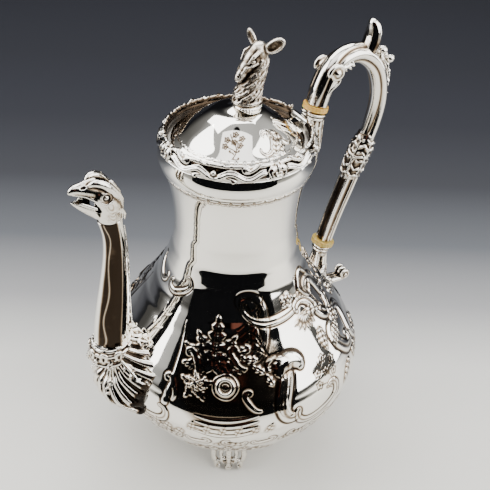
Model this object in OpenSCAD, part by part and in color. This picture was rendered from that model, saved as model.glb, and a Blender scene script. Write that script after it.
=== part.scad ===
// Coffee pot with a hinged domed lid, a bird-head spout and an insulated scroll handle.
// Millimetres. +Z is up, the spout points along -X and the handle along +X.
// The origin is on the body's axis, on the surface that the feet stand on.

/* [Body] */
// Largest radius of the pear-shaped body
belly_r = 82; // [80:0.5:83]
// Height of the largest radius
belly_z = 74; // [72:0.5:76]
// Smallest radius of the neck
waist_r = 36.4; // [36:0.2:37]
// Height of the smallest neck radius
waist_z = 172; // [168:1:176]
// Thickness of the raised sheet
wall = 1.1; // [0.9:0.1:1.2]

/* [Mouth and lid] */
// Height where the bulging collar starts
collar_z = 208; // [207.5:0.25:208.5]
// Radius of the collar's lower edge
collar_r = 42.2; // [42:0.1:42.4]
// Radius of the hole that the lid's bezel drops into
mouth_r = 34.6; // [34.4:0.1:34.8]
// Outer radius of the lid
lid_r = 36.8; // [36.5:0.1:37]
// Height of the lid's crown
lid_top_z = 243.5; // [243:0.25:244]
// How far the lid stands clear of its seat
seat_gap = 0.3; // [0.2:0.05:0.4]
// Where the finial stands, towards the handle from the body's axis
finial_x = 5; // [4:0.5:6]

/* [Hinge] */
// Distance of the hinge pin from the body's axis
hinge_x = 41; // [40.8:0.1:41.2]
// Height of the hinge pin
hinge_z = 225.2; // [225.1:0.05:225.3]
// Radius of the knuckles
knuckle_r = 2.2; // [2:0.1:2.2]
// Radius of the hinge pin
pin_r = 0.9; // [0.8:0.05:1]
// Running clearance of the lid's knuckle on the pin
pin_play = 0.05; // [0.03:0.01:0.08]

/* [Handle] */
// Radius of the two insulating rings
ring_r = 7.4; // [7:0.1:7.6]
// Thickness of the insulating rings
ring_t = 2.8; // [2.4:0.1:3.2]
// Radius of the tenons that join the rings to the silver
tenon_r = 3; // [2.6:0.1:3.2]
// Length of each tenon
tenon_l = 6; // [5:0.5:7]

/* [Feet] */
// Distance of each foot from the body's axis
foot_r = 52; // [50:0.5:54]
// Angle between the spout's side and each front foot
foot_angle = 60; // [55:1:65]

/* [Hidden] */

silver = "silver";
bone = "khaki";
steps = 9;             // points in each free curve of a profile
big = 400;             // longer than the pot
base_r = 34;           // radius of the flat bottom
base_z = 15.5;         // height of the flat bottom
collar_h = 13.2;       // height of the collar band
ring_top = 1.5;        // thickness of the mouth ring
mouth_z = collar_z + collar_h;
seat_z = mouth_z + ring_top;
spout_hole_r = 9;      // hole from the body into the spout
spout_hole_z = 84;
fine = 96;             // facets asked for on large round shapes

// ---- Curves ----
function bezier(a, b, c, d, t) =
    pow(1 - t, 3) * a + 3 * t * pow(1 - t, 2) * b + 3 * t * t * (1 - t) * c + t * t * t * d;
// The curve from a to d without its first point, so that curves can follow each other
function bezier_run(a, b, c, d) = [for (i = [1 : steps]) bezier(a, b, c, d, i / steps)];
function joined(lists) = [for (one = lists) for (p = one) p];
function reversed(list) = [for (i = [len(list) - 1 : -1 : 0]) list[i]];

// A smooth curve through every station, with "cuts" pieces between two stations
function between(a, b, c, d, t) = 0.5 * (2 * b + (c - a) * t
    + (2 * a - 5 * b + 4 * c - d) * t * t + (3 * b - a - 3 * c + d) * t * t * t);
function smooth(list, cuts) = concat(
    [for (i = [0 : len(list) - 2]) for (k = [0 : cuts - 1])
        between(list[max(i - 1, 0)], list[i], list[i + 1], list[min(i + 2, len(list) - 1)], k / cuts)],
    [list[len(list) - 1]]);

// The direction of travel at station i, in the XZ plane
function heading(line, i) =
    let (a = line[max(i - 1, 0)], b = line[min(i + 1, len(line) - 1)], v = [b[0] - a[0], b[1] - a[1]])
    v / norm(v);
// One oval ring of a sweep. A station is [x, z, half thickness in the plane, half width across it].
function ring_of(line, i, sides, inset) =
    let (s = line[i], h = heading(line, i))
    [for (k = [0 : sides - 1])
        let (a = 360 * k / sides, t = (s[2] - inset) * cos(a), w = (s[3] - inset) * sin(a))
        [s[0] - h[1] * t, w, s[1] + h[0] * t]];

function skin(rings, sides, start, flip) = [
    for (i = [0 : rings - 2]) for (k = [0 : sides - 1]) for (half = [0, 1])
        let (a = start + i * sides + k, b = start + i * sides + (k + 1) % sides, c = b + sides, d = a + sides)
        flip ? (half == 0 ? [a, c, b] : [a, d, c]) : (half == 0 ? [a, b, c] : [a, c, d])];

// A solid bar of oval section along the stations
module bar(stations, cuts = 3, sides = 16) {
    line = smooth(stations, cuts);
    n = len(line);
    polyhedron(
        points = joined([for (i = [0 : n - 1]) ring_of(line, i, sides, 0)]),
        faces = concat(
            skin(n, sides, 0, false),
            [[for (k = [sides - 1 : -1 : 0]) k]],
            [[for (k = [0 : sides - 1]) (n - 1) * sides + k]]),
        convexity = 6);
}

// The same bar as a tube, open at both ends
module pipe(stations, thickness, cuts = 3, sides = 16) {
    line = smooth(stations, cuts);
    n = len(line);
    inner = n * sides;
    last = (n - 1) * sides;
    polyhedron(
        points = concat(
            joined([for (i = [0 : n - 1]) ring_of(line, i, sides, 0)]),
            joined([for (i = [0 : n - 1]) ring_of(line, i, sides, thickness)])),
        faces = concat(
            skin(n, sides, 0, false),
            skin(n, sides, inner, true),
            [for (k = [0 : sides - 1]) let (j = (k + 1) % sides) for (half = [0, 1])
                half == 0 ? [k, inner + j, j] : [k, inner + k, inner + j]],
            [for (k = [0 : sides - 1]) let (j = (k + 1) % sides) for (half = [0, 1])
                half == 0 ? [last + k, last + j, inner + last + j]
                          : [last + k, inner + last + j, inner + last + k]]),
        convexity = 8);
}

// ---- Vessel ----
// The side runs from the base out to the belly, in to the waist and out to the collar
function vessel_side(inset) = concat(
    [[base_r, base_z + inset]],
    bezier_run([base_r, base_z + inset], [54, 19 + inset], [belly_r - 2 - inset, 42], [belly_r - inset, belly_z]),
    bezier_run([belly_r - inset, belly_z], [belly_r - inset, 97], [waist_r - inset, 125], [waist_r - inset, waist_z]),
    bezier_run([waist_r - inset, waist_z], [waist_r - inset, 186], [38.6 - inset, 200], [collar_r - inset, collar_z]));

// Everything inside the body's outer surface, used to fit other pieces against it
module vessel_solid() {
    rotate_extrude($fn = fine) polygon(concat([[0, base_z]], vessel_side(0), [[0, collar_z]]));
}

spout_hole_l = 30;              // long enough to pass through the wall, not the far side
module body_shell() {
    color(silver) difference() {
        rotate_extrude($fn = fine) polygon(concat(vessel_side(0), reversed(vessel_side(wall))));
        translate([-belly_r, 0, spout_hole_z]) rotate([0, 90, 0]) 
            cylinder(h = spout_hole_l, r = spout_hole_r, center = true);
    }
}

module bottom_disc() {
    color(silver) translate([0, 0, base_z]) cylinder(h = wall, r = base_r, $fn = fine);
}

bulge = 1.7;           // how far the collar swells
collar_wall = 1.2;
function collar_side(inset) = [for (i = [0 : steps])
    let (t = i / steps)
    [collar_r + 1.2 * t + bulge * sin(180 * t) - inset, collar_z + collar_h * t]];

module collar_band() {
    color(silver) rotate_extrude($fn = fine)
        polygon(concat(collar_side(0), reversed(collar_side(collar_wall))));
}

module mouth_ring() {
    color(silver) translate([0, 0, mouth_z]) difference() {
        cylinder(h = ring_top, r = collar_r + 1.2, $fn = fine);
        translate([0, 0, -1]) cylinder(h = ring_top + 2, r = mouth_r, $fn = fine);
    }
}

rim_lap = 2.4;         // how far the border hangs below the seat
rim_h = 7.3;           // how far it stands above the seat
notch_w = 16.6;        // gap in the border for the hinge
module rim_profile() {
    polygon([
        [40.4, seat_z], [43.4, seat_z], [43.9, seat_z - rim_lap], [45.4, seat_z - rim_lap + 0.6],
        [44.2, seat_z + 3.6], [40.9, seat_z + rim_h], [39.2, seat_z + rim_h - 0.6], [39.6, seat_z + 3]]);
}
// Gap in the border behind the lid, where the hinge stands
notch_x = 36;
notch_l = 12;
notch_h = 14;
module rim_border() {
    color(silver) difference() {
        rotate_extrude($fn = fine) rim_profile();
        translate([notch_x, -notch_w / 2, seat_z - 4]) cube([notch_l, notch_w, notch_h]);
    }
}

// Collar and rim as one plug, used to fit the handle's socket against them
module collar_solid() {
    rotate_extrude($fn = fine) polygon(concat([[0, collar_z]], collar_side(0), [[0, mouth_z]]));
    rotate_extrude($fn = fine) polygon([
        [0, seat_z - rim_lap], [43.9, seat_z - rim_lap], [45.4, seat_z - rim_lap + 0.6],
        [44.2, seat_z + 3.6], [40.9, seat_z + rim_h], [0, seat_z + rim_h]]);
}

// ---- Spout ----
// Centre line of the neck, from the elbow up to the throat
neck_line = [
    [-83.5, 108, 10.6, 10.2], [-82.5, 118, 10.6, 10], [-80.5, 132, 10, 9], [-78, 150, 8.6, 7.8],
    [-76, 168, 7, 6.8], [-75.6, 182, 6.3, 6.2], [-76.6, 193, 7, 6.6]];
spout_wall = 1.2;
module spout_neck() {
    color(silver) pipe(neck_line, spout_wall);
}

// The fluted base widens from the elbow to the belly
module spout_shell() {
    color(silver) difference() {
        pipe([[-84.6, 98, 14, 13.5], [-84, 95, 15.5, 15], [-80, 90, 20, 20], [-72, 85.5, 28, 29],
            [-60, 82, 35, 38]], spout_wall, sides = 24);
        vessel_solid();
    }
}

module spout_scroll_collar() {
    color(silver) difference() {
        pipe([[-83.2, 108, 12.4, 12], [-83.8, 104.5, 14.2, 13.6], [-84.2, 101.5, 13.2, 12.8],
            [-84.6, 98, 15.4, 14.8]], 2.2, cuts = 2, sides = 24);
        vessel_solid();
        bar(neck_line);
    }
}

// An acanthus strip laid on the body side of the neck
module spout_leaf() {
    color(silver) difference() {
        bar([[-72, 112, 1.2, 5], [-70.6, 122, 2, 5.4], [-69.6, 138, 1.6, 4.2], [-68.8, 155, 1.5, 3.4],
            [-68.4, 172, 1.4, 2.6], [-68.8, 186, 1, 1.4]], sides = 12);
        bar(neck_line);
    }
}

// Head with its upper bill; the throat runs on from the neck
module spout_head() {
    color(silver) difference() {
        union() {
            bar([[-76.6, 193, 7, 6.6], [-77.2, 200, 8.2, 7.4], [-79.5, 206.5, 8.6, 7.6],
                [-85, 211.5, 6.2, 6.4], [-90.5, 214.5, 3.6, 4.4], [-96.8, 215.6, 1, 1.4]]);
            bar([[-70, 199, 1, 1.6], [-74, 208, 3.4, 4], [-80, 215.5, 4.6, 5], [-85.6, 218, 2.6, 3]]);
        }
        bar([[-76, 190, 5.6, 5.2], [-77.5, 198, 6.4, 5.8], [-81, 203.6, 5.6, 5.6], [-88, 207.6, 4.4, 5.4],
            [-100, 209.6, 4.6, 6.4]]);
        bar(neck_line);
    }
}

module spout_lower_bill() {
    color(silver) difference() {
        bar([[-77.6, 198.6, 5.4, 6.4], [-83.5, 200.8, 4.6, 6], [-89, 204.8, 3, 4.8], [-96, 209, 0.9, 1.6]]);
        bar([[-76.6, 190, 7, 6.6], [-76.6, 193, 7, 6.6], [-77.2, 200, 8.2, 7.4], [-79.5, 206.5, 8.6, 7.6],
            [-85, 211.5, 6.2, 6.4]]);
        bar([[-78, 202.6, 4.6, 5], [-84, 204.6, 4, 4.8], [-89.5, 208, 3.2, 4], [-98, 211.6, 2.2, 2.6]]);
        spout_head();
    }
}

// ---- Handle ----
upper_ring = [50.2, 231];      // centre of each insulating ring, x and z
upper_tilt = 14;
lower_ring = [66.3, 130];
lower_tilt = 15;
module at_upper() { translate([upper_ring[0], 0, upper_ring[1]]) rotate([0, upper_tilt, 0]) children(); }
module at_lower() { translate([lower_ring[0], 0, lower_ring[1]]) rotate([0, lower_tilt, 0]) children(); }

module insulator() {
    color(bone) {
        cylinder(h = ring_t, r = ring_r, center = true, $fn = 48);
        cylinder(h = ring_t + 2 * tenon_l, r = tenon_r, center = true, $fn = 32);
    }
}
module tenon_hole() {
    cylinder(h = ring_t + 2 * tenon_l, r = tenon_r, center = true, $fn = 32);
}
cross_pin_r = 0.7;
cross_pin_l = 9.2;
cross_pin_at = tenon_l * 0.6;   // how far along its tenon each pin crosses
module cross_pins() {
    for (side = [-1, 1]) translate([0, 0, side * (ring_t / 2 + cross_pin_at)])
        rotate([90, 0, 0]) cylinder(h = cross_pin_l, r = cross_pin_r, center = true, $fn = 24);
}
// The block to cut from a piece that stands above (side 1) or below (side -1) an insulating ring
ring_block = 20;
module ring_side(side) {
    translate([0, 0, side * (ring_t - ring_block) / 2])
        cube([ring_block + 6, ring_block + 6, ring_block], center = true);
}

module handle_upper_socket() {
    color(silver) difference() {
        bar([[51.6, 236, 6.4, 7], [50, 229.5, 6.4, 7], [49.8, 222, 6.2, 6], [50.6, 214, 7.2, 5.2],
            [52.8, 206.5, 3.8, 3.8], [54.4, 200, 1.4, 2]]);
        at_upper() ring_side(-1);
        collar_solid();
        at_upper() tenon_hole();
        at_upper() cross_pins();
    }
}
module handle_upper_insulator() {
    difference() {
        at_upper() insulator();
        at_upper() cross_pins();
    }
}
module handle_upper_pin() { color(silver) at_upper() cross_pins(); }

// The arch and the arm are one curve; the knop covers the place where they meet
handle_line = [
    [49, 226, 6.4, 7.2], [50.6, 233, 6.4, 7.2], [53, 242.5, 6.6, 7.4], [58, 252, 6.6, 7.2],
    [67, 258.6, 6, 6.8], [79, 257.6, 5.8, 6.6], [90, 247, 5.8, 6.4], [95, 229, 5.6, 6],
    [92.6, 209, 5.6, 5.8], [86, 191, 6, 5.8], [79, 171, 6, 5.8], [72.6, 152, 5.6, 5.6],
    [67.4, 134, 5.2, 5.6], [65.8, 127, 5.2, 5.6]];
joint_z = 192;         // height where the arch meets the arm
module handle_bar() { bar(handle_line, cuts = 4, sides = 18); }

module handle_arch() {
    color(silver) difference() {
        intersection() {
            handle_bar();
            translate([0, -big / 2, joint_z]) cube([big, big, big]);
        }
        at_upper() ring_side(1);
        at_upper() tenon_hole();
        at_upper() cross_pins();
    }
}
module handle_lower_arm() {
    color(silver) difference() {
        intersection() {
            handle_bar();
            translate([0, -big / 2, joint_z - big]) cube([big, big, big]);
        }
        at_lower() ring_side(1);
        at_lower() tenon_hole();
        at_lower() cross_pins();
    }
}
module handle_volute() {
    color(silver) difference() {
        translate([57.5, 0, 252.5]) rotate([90, 0, 0]) cylinder(h = 17.4, r = 4.4, center = true, $fn = 40);
        handle_bar();
    }
}
module handle_knop() {
    color(silver) difference() {
        bar([[91, 204, 3, 3], [88.6, 198, 8, 7.2], [86, 191, 8.4, 7.6], [83, 183, 7.2, 6.8], [80.4, 176, 3, 3]],
            sides = 18);
        handle_bar();
    }
}
module handle_outer_strand() {
    color(silver) difference() {
        bar([[93, 255, 2, 2.6], [98.4, 245, 2.6, 3], [100, 229, 2.4, 3], [97.6, 209, 2.8, 3.2],
            [92, 190, 2.8, 3], [85.4, 172, 2, 2.4]], cuts = 4, sides = 12);
        handle_bar();
        handle_knop();
    }
}
module thumb_leaf() {
    color(silver) difference() {
        bar([[81, 256, 4, 5], [84, 264, 3.8, 4.8], [85, 271, 2.8, 4], [82.6, 277.2, 0.9, 1.4]]);
        handle_bar();
    }
}
module bead_cluster() {
    color(silver) difference() {
        for (bead = [[93.4, 0, 257, 3.2], [97.6, -3, 252.6, 2.6], [97.6, 3, 252.6, 2.6]])
            translate([bead[0], bead[1], bead[2]]) sphere(r = bead[3], $fn = 32);
        handle_bar();
        handle_outer_strand();
    }
}

module handle_lower_insulator() {
    difference() {
        at_lower() insulator();
        at_lower() cross_pins();
    }
}
module handle_lower_pin() { color(silver) at_lower() cross_pins(); }

// Two stems under a cap, standing on the shoulder
module handle_lower_socket() {
    color(silver) difference() {
        union() {
            difference() {
                bar([[68.4, 136, 6.2, 6.2], [66, 128, 6.2, 6.2], [64.6, 122.6, 5.6, 5.4]], cuts = 2, sides = 18);
                at_lower() ring_side(-1);
            }
            bar([[62.6, 124, 2.6, 4.4], [61, 116, 2.3, 4], [58.6, 104, 3, 4.6]], sides = 12);
            bar([[67.6, 124, 2.6, 4.4], [67.2, 114, 2.5, 4.2], [67.6, 96, 3.4, 5]], sides = 12);
        }
        vessel_solid();
        at_lower() tenon_hole();
        at_lower() cross_pins();
    }
}
module handle_spur() {
    color(silver) difference() {
        union() {
            bar([[66, 92, 5, 5], [75, 94, 4.4, 5], [83, 95.6, 3.4, 4.6]], sides = 16);
            translate([86, 0, 96.6]) rotate([90, 0, 0]) cylinder(h = 10, r = 4.2, center = true, $fn = 40);
        }
        vessel_solid();
        handle_lower_socket();
    }
}

// ---- Hinge ----
knuckle_gap = 0.3;
lid_knuckle_w = 4.8;
module knuckle(from, to) {
    translate([hinge_x, to, hinge_z]) rotate([90, 0, 0]) cylinder(h = to - from, r = knuckle_r, $fn = 40);
}
module pin_hole(r) {
    translate([hinge_x, 0, hinge_z]) rotate([90, 0, 0]) cylinder(h = notch_w, r = r, center = true, $fn = 32);
}
outer_w = 5;           // length of each outer knuckle
module hinge_body_knuckles() {
    inner = lid_knuckle_w / 2 + knuckle_gap;
    color(silver) difference() {
        for (side = [-1, 1]) {
            low = min(side * inner, side * (inner + outer_w));
            knuckle(low, low + outer_w);
            translate([hinge_x - 1.2, low, seat_z]) cube([3.2, outer_w, hinge_z - seat_z]);
        }
        pin_hole(pin_r);
    }
}
module hinge_pin() {
    color(silver) translate([hinge_x, 0, hinge_z]) rotate([90, 0, 0])
        cylinder(h = lid_knuckle_w + 2 * (knuckle_gap + outer_w), r = pin_r, center = true, $fn = 32);
}

// ---- Feet ----
// A scrolled fan: a beaded stem in the middle and a curled scroll on each side
module foot(angle) {
    color(silver) rotate([0, 0, angle]) difference() {
        union() {
            bar([[foot_r - 4, 30, 3.4, 3.4], [foot_r - 1, 20, 2.6, 3], [foot_r + 1.4, 10, 2.4, 2.6],
                [foot_r + 2, 1, 2.4, 2.6]], sides = 12);
            translate([foot_r + 2, 0, 0]) cylinder(h = 1.6, r = 3.2, $fn = 32);
            for (side = [-1, 1]) mirror([0, side < 0 ? 1 : 0, 0]) {
                translate([foot_r, 0, 0]) rotate([0, 0, 90])
                    bar([[3, 30, 1.8, 3.4], [6.4, 21, 1.8, 3], [9, 12, 1.8, 2.6], [7.6, 1, 1.8, 2.4]],
                        sides = 12);
                translate([foot_r, 7.6, 0]) cylinder(h = 1.6, r = 2.6, $fn = 32);
            }
        }
        vessel_solid();
    }
}
module foot_near() { foot(180 + foot_angle); }
module foot_far() { foot(180 - foot_angle); }
module foot_back() { foot(0); }

// ---- Lid ----
flange_z = seat_z + seat_gap;
flange_t = 1.2;
shoulder_r = 31;       // where the flange turns up into the dome
shoulder_z = 228;
function flange_top() = bezier_run([lid_r, flange_z + flange_t], [34.5, 225], [32.5, 225.8], [shoulder_r, shoulder_z]);
function dome_side(inset) = bezier_run(
    [shoulder_r - inset, shoulder_z - inset / 2], [25 - inset * 0.8, 232.6 - inset * 0.6],
    [16 - inset, lid_top_z - 0.1 - inset], [0, lid_top_z - inset]);
lid_wall = 1.2;
module dome_solid() {
    rotate_extrude($fn = fine) polygon(concat(
        [[0, flange_z], [lid_r, flange_z], [lid_r, flange_z + flange_t]], flange_top(), dome_side(0)));
}
stud_r = 2;
module lid_dome() {
    color(silver) difference() {
        rotate_extrude($fn = fine) polygon(concat(
            [[shoulder_r + 1.2, flange_z], [lid_r, flange_z], [lid_r, flange_z + flange_t]],
            flange_top(), dome_side(0), reversed(dome_side(lid_wall)),
            [[shoulder_r - lid_wall, shoulder_z - lid_wall / 2]]));
        translate([finial_x, 0, lid_top_z - 6]) cylinder(h = 12, r = stud_r + 0.1, $fn = 32);
    }
}
bezel_h = 6;
module lid_bezel() {
    color(silver) translate([0, 0, flange_z - bezel_h]) difference() {
        cylinder(h = bezel_h, r = mouth_r - 0.5, $fn = fine);
        translate([0, 0, -1]) cylinder(h = bezel_h + 2, r = mouth_r - 1.6, $fn = fine);
    }
}
module lid_hinge_leaf() {
    color(silver) difference() {
        union() {
            knuckle(-lid_knuckle_w / 2, lid_knuckle_w / 2);
            translate([32.6, -lid_knuckle_w / 2, flange_z + 0.9])
                cube([hinge_x - 32.6, lid_knuckle_w, 1.8]);
        }
        pin_hole(pin_r + pin_play);
        dome_solid();
    }
}

// ---- Finial ----
collar_top = lid_top_z + 1;
finial_collar_r = 8.6;
finial_sink = 3;                // how far the collar reaches down into the crown's curve
module finial_collar() {
    color(silver) difference() {
        translate([finial_x, 0, lid_top_z - finial_sink])
            cylinder(h = collar_top - lid_top_z + finial_sink, r = finial_collar_r, $fn = 64);
        dome_solid();
        translate([finial_x, 0, lid_top_z - 6]) cylinder(h = 12, r = stud_r + 0.1, $fn = 32);
    }
}
module ear(base, tip) {
    hull() {
        translate(base) sphere(r = 2.4, $fn = 20);
        translate((base + tip) / 2) sphere(r = 2.6, $fn = 20);
        translate(tip) sphere(r = 0.7, $fn = 12);
    }
}
// A doe's head and neck, looking towards the spout
module finial_deer() {
    color(silver) difference() {
        union() {
            intersection() {
                bar([[4.6, 240, 8.2, 7.6], [5.4, 245, 8.2, 7.6], [7.6, 252.5, 8.4, 7], [10.4, 260, 7, 6],
                    [12, 267, 5.6, 5.2], [11.4, 272, 3.4, 3.4]]);
                translate([-big / 2, -big / 2, collar_top]) cube(big);
            }
            bar([[15.6, 272.6, 2, 2.4], [11.8, 271.6, 4.8, 4.8], [7, 267.4, 4.6, 4.6], [3, 262.4, 3.4, 3.2],
                [-0.2, 258.4, 2.8, 2.6], [-2.2, 256, 1, 1.2]]);
            ear([12, 3.6, 272], [9.4, 9, 279.8]);
            ear([13.4, -3.6, 272], [19, -12, 280.3]);
        }
        translate([finial_x, 0, collar_top - 1]) cylinder(h = 7, r = stud_r, $fn = 32);
    }
}
nut_h = 2.4;
nut_r = 3.8;                    // across the corners, from the centre
stud_end_z = collar_top + 6;
stud_gap = 2.6;                // how far below the crown the stud's end lies, past the nut
module finial_stud() {
    color(silver) translate([finial_x, 0, lid_top_z - lid_wall - nut_h - stud_gap])
        cylinder(h = stud_end_z - (lid_top_z - lid_wall - nut_h - stud_gap), r = stud_r, $fn = 32);
}
nut_gap = 2;                   // below the crown, so its corners clear the curve of the lid
module finial_nut() {
    color(silver) translate([finial_x, 0, lid_top_z - lid_wall - nut_h - nut_gap]) difference() {
        cylinder(h = nut_h, r = nut_r, $fn = 6);
        translate([0, 0, -1]) cylinder(h = nut_h + 2, r = stud_r, $fn = 32);
    }
}

body_shell();
bottom_disc();
collar_band();
mouth_ring();
rim_border();
spout_shell();
spout_scroll_collar();
spout_neck();
spout_leaf();
spout_head();
spout_lower_bill();
handle_upper_socket();
handle_upper_insulator();
handle_upper_pin();
handle_arch();
handle_volute();
handle_lower_arm();
handle_knop();
handle_outer_strand();
thumb_leaf();
bead_cluster();
handle_lower_pin();
handle_lower_insulator();
handle_lower_socket();
handle_spur();
hinge_body_knuckles();
hinge_pin();
foot_near();
foot_far();
foot_back();
lid_dome();
lid_bezel();
lid_hinge_leaf();
finial_collar();
finial_deer();
finial_stud();
finial_nut();
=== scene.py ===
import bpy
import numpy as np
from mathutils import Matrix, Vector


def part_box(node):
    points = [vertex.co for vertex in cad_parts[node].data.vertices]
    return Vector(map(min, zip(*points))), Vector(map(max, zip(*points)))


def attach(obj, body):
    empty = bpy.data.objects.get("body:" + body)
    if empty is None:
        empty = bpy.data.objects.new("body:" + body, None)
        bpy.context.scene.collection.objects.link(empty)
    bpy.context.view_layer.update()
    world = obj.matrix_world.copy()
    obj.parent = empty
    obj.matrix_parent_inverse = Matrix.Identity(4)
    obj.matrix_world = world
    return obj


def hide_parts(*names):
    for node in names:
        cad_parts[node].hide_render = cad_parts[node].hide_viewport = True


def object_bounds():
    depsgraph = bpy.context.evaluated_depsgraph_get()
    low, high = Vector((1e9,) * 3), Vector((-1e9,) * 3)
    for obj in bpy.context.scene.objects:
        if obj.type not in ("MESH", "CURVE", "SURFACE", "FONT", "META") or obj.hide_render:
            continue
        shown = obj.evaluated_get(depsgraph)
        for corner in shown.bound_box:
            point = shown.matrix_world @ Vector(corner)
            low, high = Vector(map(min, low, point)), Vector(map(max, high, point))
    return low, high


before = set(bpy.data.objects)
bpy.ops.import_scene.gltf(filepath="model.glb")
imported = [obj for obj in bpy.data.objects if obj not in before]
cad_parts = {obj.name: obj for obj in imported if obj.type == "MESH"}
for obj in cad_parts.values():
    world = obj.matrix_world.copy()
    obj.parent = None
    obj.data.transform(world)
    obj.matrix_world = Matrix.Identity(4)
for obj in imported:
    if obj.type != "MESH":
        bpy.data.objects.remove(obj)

# %% [markdown]
# # A silver coffee pot
# The pot is a raised, pear-shaped vessel with chased scrolls, and everything else on it is cast:
# the border, the spout's bird head, the handle, the feet and the doe on the lid. The steps follow
# a silversmith's order: raise the body, chase it, cast the mounts, fit them, then polish.
# Sizes are in millimetres and are turned to metres only where a mesh is made.

import openvdb
from mathutils import Matrix, Vector

MM = 0.001
cad_low, cad_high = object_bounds()


def spot(node, fx=0.5, fy=0.5, fz=0.5):
    """A place in a CAD node's box, in mm: 0 is its low side, 1 its high side."""
    low, high = (np.array(c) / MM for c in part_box(node))
    return low + (high - low) * np.array([fx, fy, fz])


print("pot, mm:", np.round((np.array(cad_high) - np.array(cad_low)) / MM, 1))

# %% [markdown]
# ## The turned profile
# The vessel is round, so one curve of radius against height describes it. It is read from the
# CAD vessel's own outside, ring by ring, and smoothed with a cubic that passes through every
# ring, so the chased skin lies exactly on the engineering model.

# %% Read the outer profile
def ring_profile(node):
    """Height and largest radius of each ring of a turned CAD node."""
    co = np.array([v.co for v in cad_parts[node].data.vertices]) / MM
    z, r = co[:, 2], np.hypot(co[:, 0], co[:, 1])
    keys = np.round(z, 1)
    heights = np.unique(keys)
    return heights, np.array([r[keys == k].max() for k in heights])


def cubic(x, xs, ys):
    """A smooth curve through (xs, ys), with slopes taken from each point's neighbours."""
    slope = np.gradient(ys, xs)
    i = np.clip(np.searchsorted(xs, x) - 1, 0, len(xs) - 2)
    span = xs[i + 1] - xs[i]
    t = np.clip((x - xs[i]) / span, 0, 1)
    return (
        (2 * t**3 - 3 * t**2 + 1) * ys[i]
        + (t**3 - 2 * t**2 + t) * span * slope[i]
        + (3 * t**2 - 2 * t**3) * ys[i + 1]
        + (t**3 - t**2) * span * slope[i + 1]
    )


shell_z, shell_r = ring_profile("body_shell")
outside = np.concatenate([[True], np.diff(shell_z) > 0.8])
shell_z, shell_r = shell_z[outside], shell_r[outside]
BASE_Z, TOP_Z = shell_z[0], shell_z[-1]


def body_radius(z):
    return cubic(np.asarray(z, float), shell_z, shell_r)


print("rings read:", len(shell_z), " belly radius, mm:", round(float(shell_r.max()), 1))

# %% [markdown]
# ## Mesh helpers
# Two kinds of surface are needed. A raised or drawn surface is a regular grid whose points are
# moved by a height map, which keeps a mirror finish smooth. A casting has no such grid: it is
# built like wax, from rods and drops that melt into each other, in a field of distances that
# OpenVDB turns into one clean skin.

# %% Make an object from points and faces
def make_object(name, points, faces, material, recess=None, flat=False):
    """A mesh object from mm points. recess, 0 to 1 a point, says how far the metal is darkened: sulphide in
    hollows, and painted shade where a part's map carries it.
    """
    mesh = bpy.data.meshes.new(name)
    faces = np.asarray(faces, np.int32)
    sides = faces.shape[1]
    mesh.vertices.add(len(points))
    mesh.vertices.foreach_set("co", (np.asarray(points, np.float32) * MM).ravel())
    mesh.loops.add(faces.size)
    mesh.loops.foreach_set("vertex_index", faces.ravel())
    mesh.polygons.add(len(faces))
    mesh.polygons.foreach_set("loop_start", np.arange(0, faces.size, sides, dtype=np.int32))
    mesh.polygons.foreach_set("use_smooth", np.full(len(faces), not flat))
    mesh.update(calc_edges=True)
    mesh.validate()
    if recess is not None:
        layer = mesh.attributes.new("recess", "FLOAT", "POINT")
        layer.data.foreach_set("value", np.asarray(recess, np.float32).ravel())
    obj = bpy.data.objects.new(name, mesh)
    bpy.context.scene.collection.objects.link(obj)
    obj.data.materials.append(material)
    return obj


def grid_faces(rows, columns, wrap=True, start=0):
    """Quads of a rows by columns grid of points, closed round its columns if wrap."""
    across = np.arange(columns if wrap else columns - 1)
    a = (np.arange(rows - 1)[:, None] * columns + across[None]) + start
    b = (np.arange(rows - 1)[:, None] * columns + (across[None] + 1) % columns) + start
    return np.stack([a, b, b + columns, a + columns], -1).reshape(-1, 4)


def ring_join(first, second, columns):
    """Quads between two rings of columns points, given the number of each ring's first point."""
    here = np.arange(columns)
    after = (here + 1) % columns
    return np.stack([first + here, first + after, second + after, second + here], 1)


def finish_piece(obj, body, slot, *nodes):
    """Ride a body and stand for CAD nodes. slot is not used."""
    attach(obj, body)
    if nodes:
        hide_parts(*nodes)
    print(f"{obj.name}: {len(obj.data.vertices)} points, {len(obj.data.polygons)} faces")
    return obj


# %% Smooth curves in space
def smooth_line(stations, pieces=8):
    """A smooth curve through every station, whatever numbers a station holds."""
    s = np.asarray(stations, float)
    padded = np.vstack([2 * s[0] - s[1], s, 2 * s[-1] - s[-2]])
    t = np.linspace(0, 1, pieces, endpoint=False)[:, None]
    out = []
    for i in range(len(s) - 1):
        a, b, c, d = padded[i : i + 4]
        square = 2 * a - 5 * b + 4 * c - d
        cube = 3 * b - a - 3 * c + d
        out.append(0.5 * (2 * b + (c - a) * t + square * t**2 + cube * t**3))
    return np.vstack([*out, s[-1:]])


CURL_POINTS = 36


def curl(length, turn_back, turn_on, heading=0.0, middle=0.12, tight=2.2, count=CURL_POINTS):
    """A scroll drawn both ways from its middle, in mm and degrees. It turns slowly in the middle
    and ever faster to each end. Turns of one sign make a C, and of two signs an S."""
    t = np.linspace(0, 1, count)
    ease = middle * t + (1 - middle) * t**tight
    halves = []
    for way, turn in ((np.pi, -turn_back), (0.0, turn_on)):
        angle = np.radians(heading) + way + np.radians(turn) * ease
        step = length / 2 / (count - 1)
        xy = np.cumsum(np.stack([np.cos(angle), np.sin(angle)], 1)[:-1] * step, axis=0)
        halves.append(np.vstack([[0, 0], xy]))
    return np.vstack([halves[0][::-1], halves[1][1:]])


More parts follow.
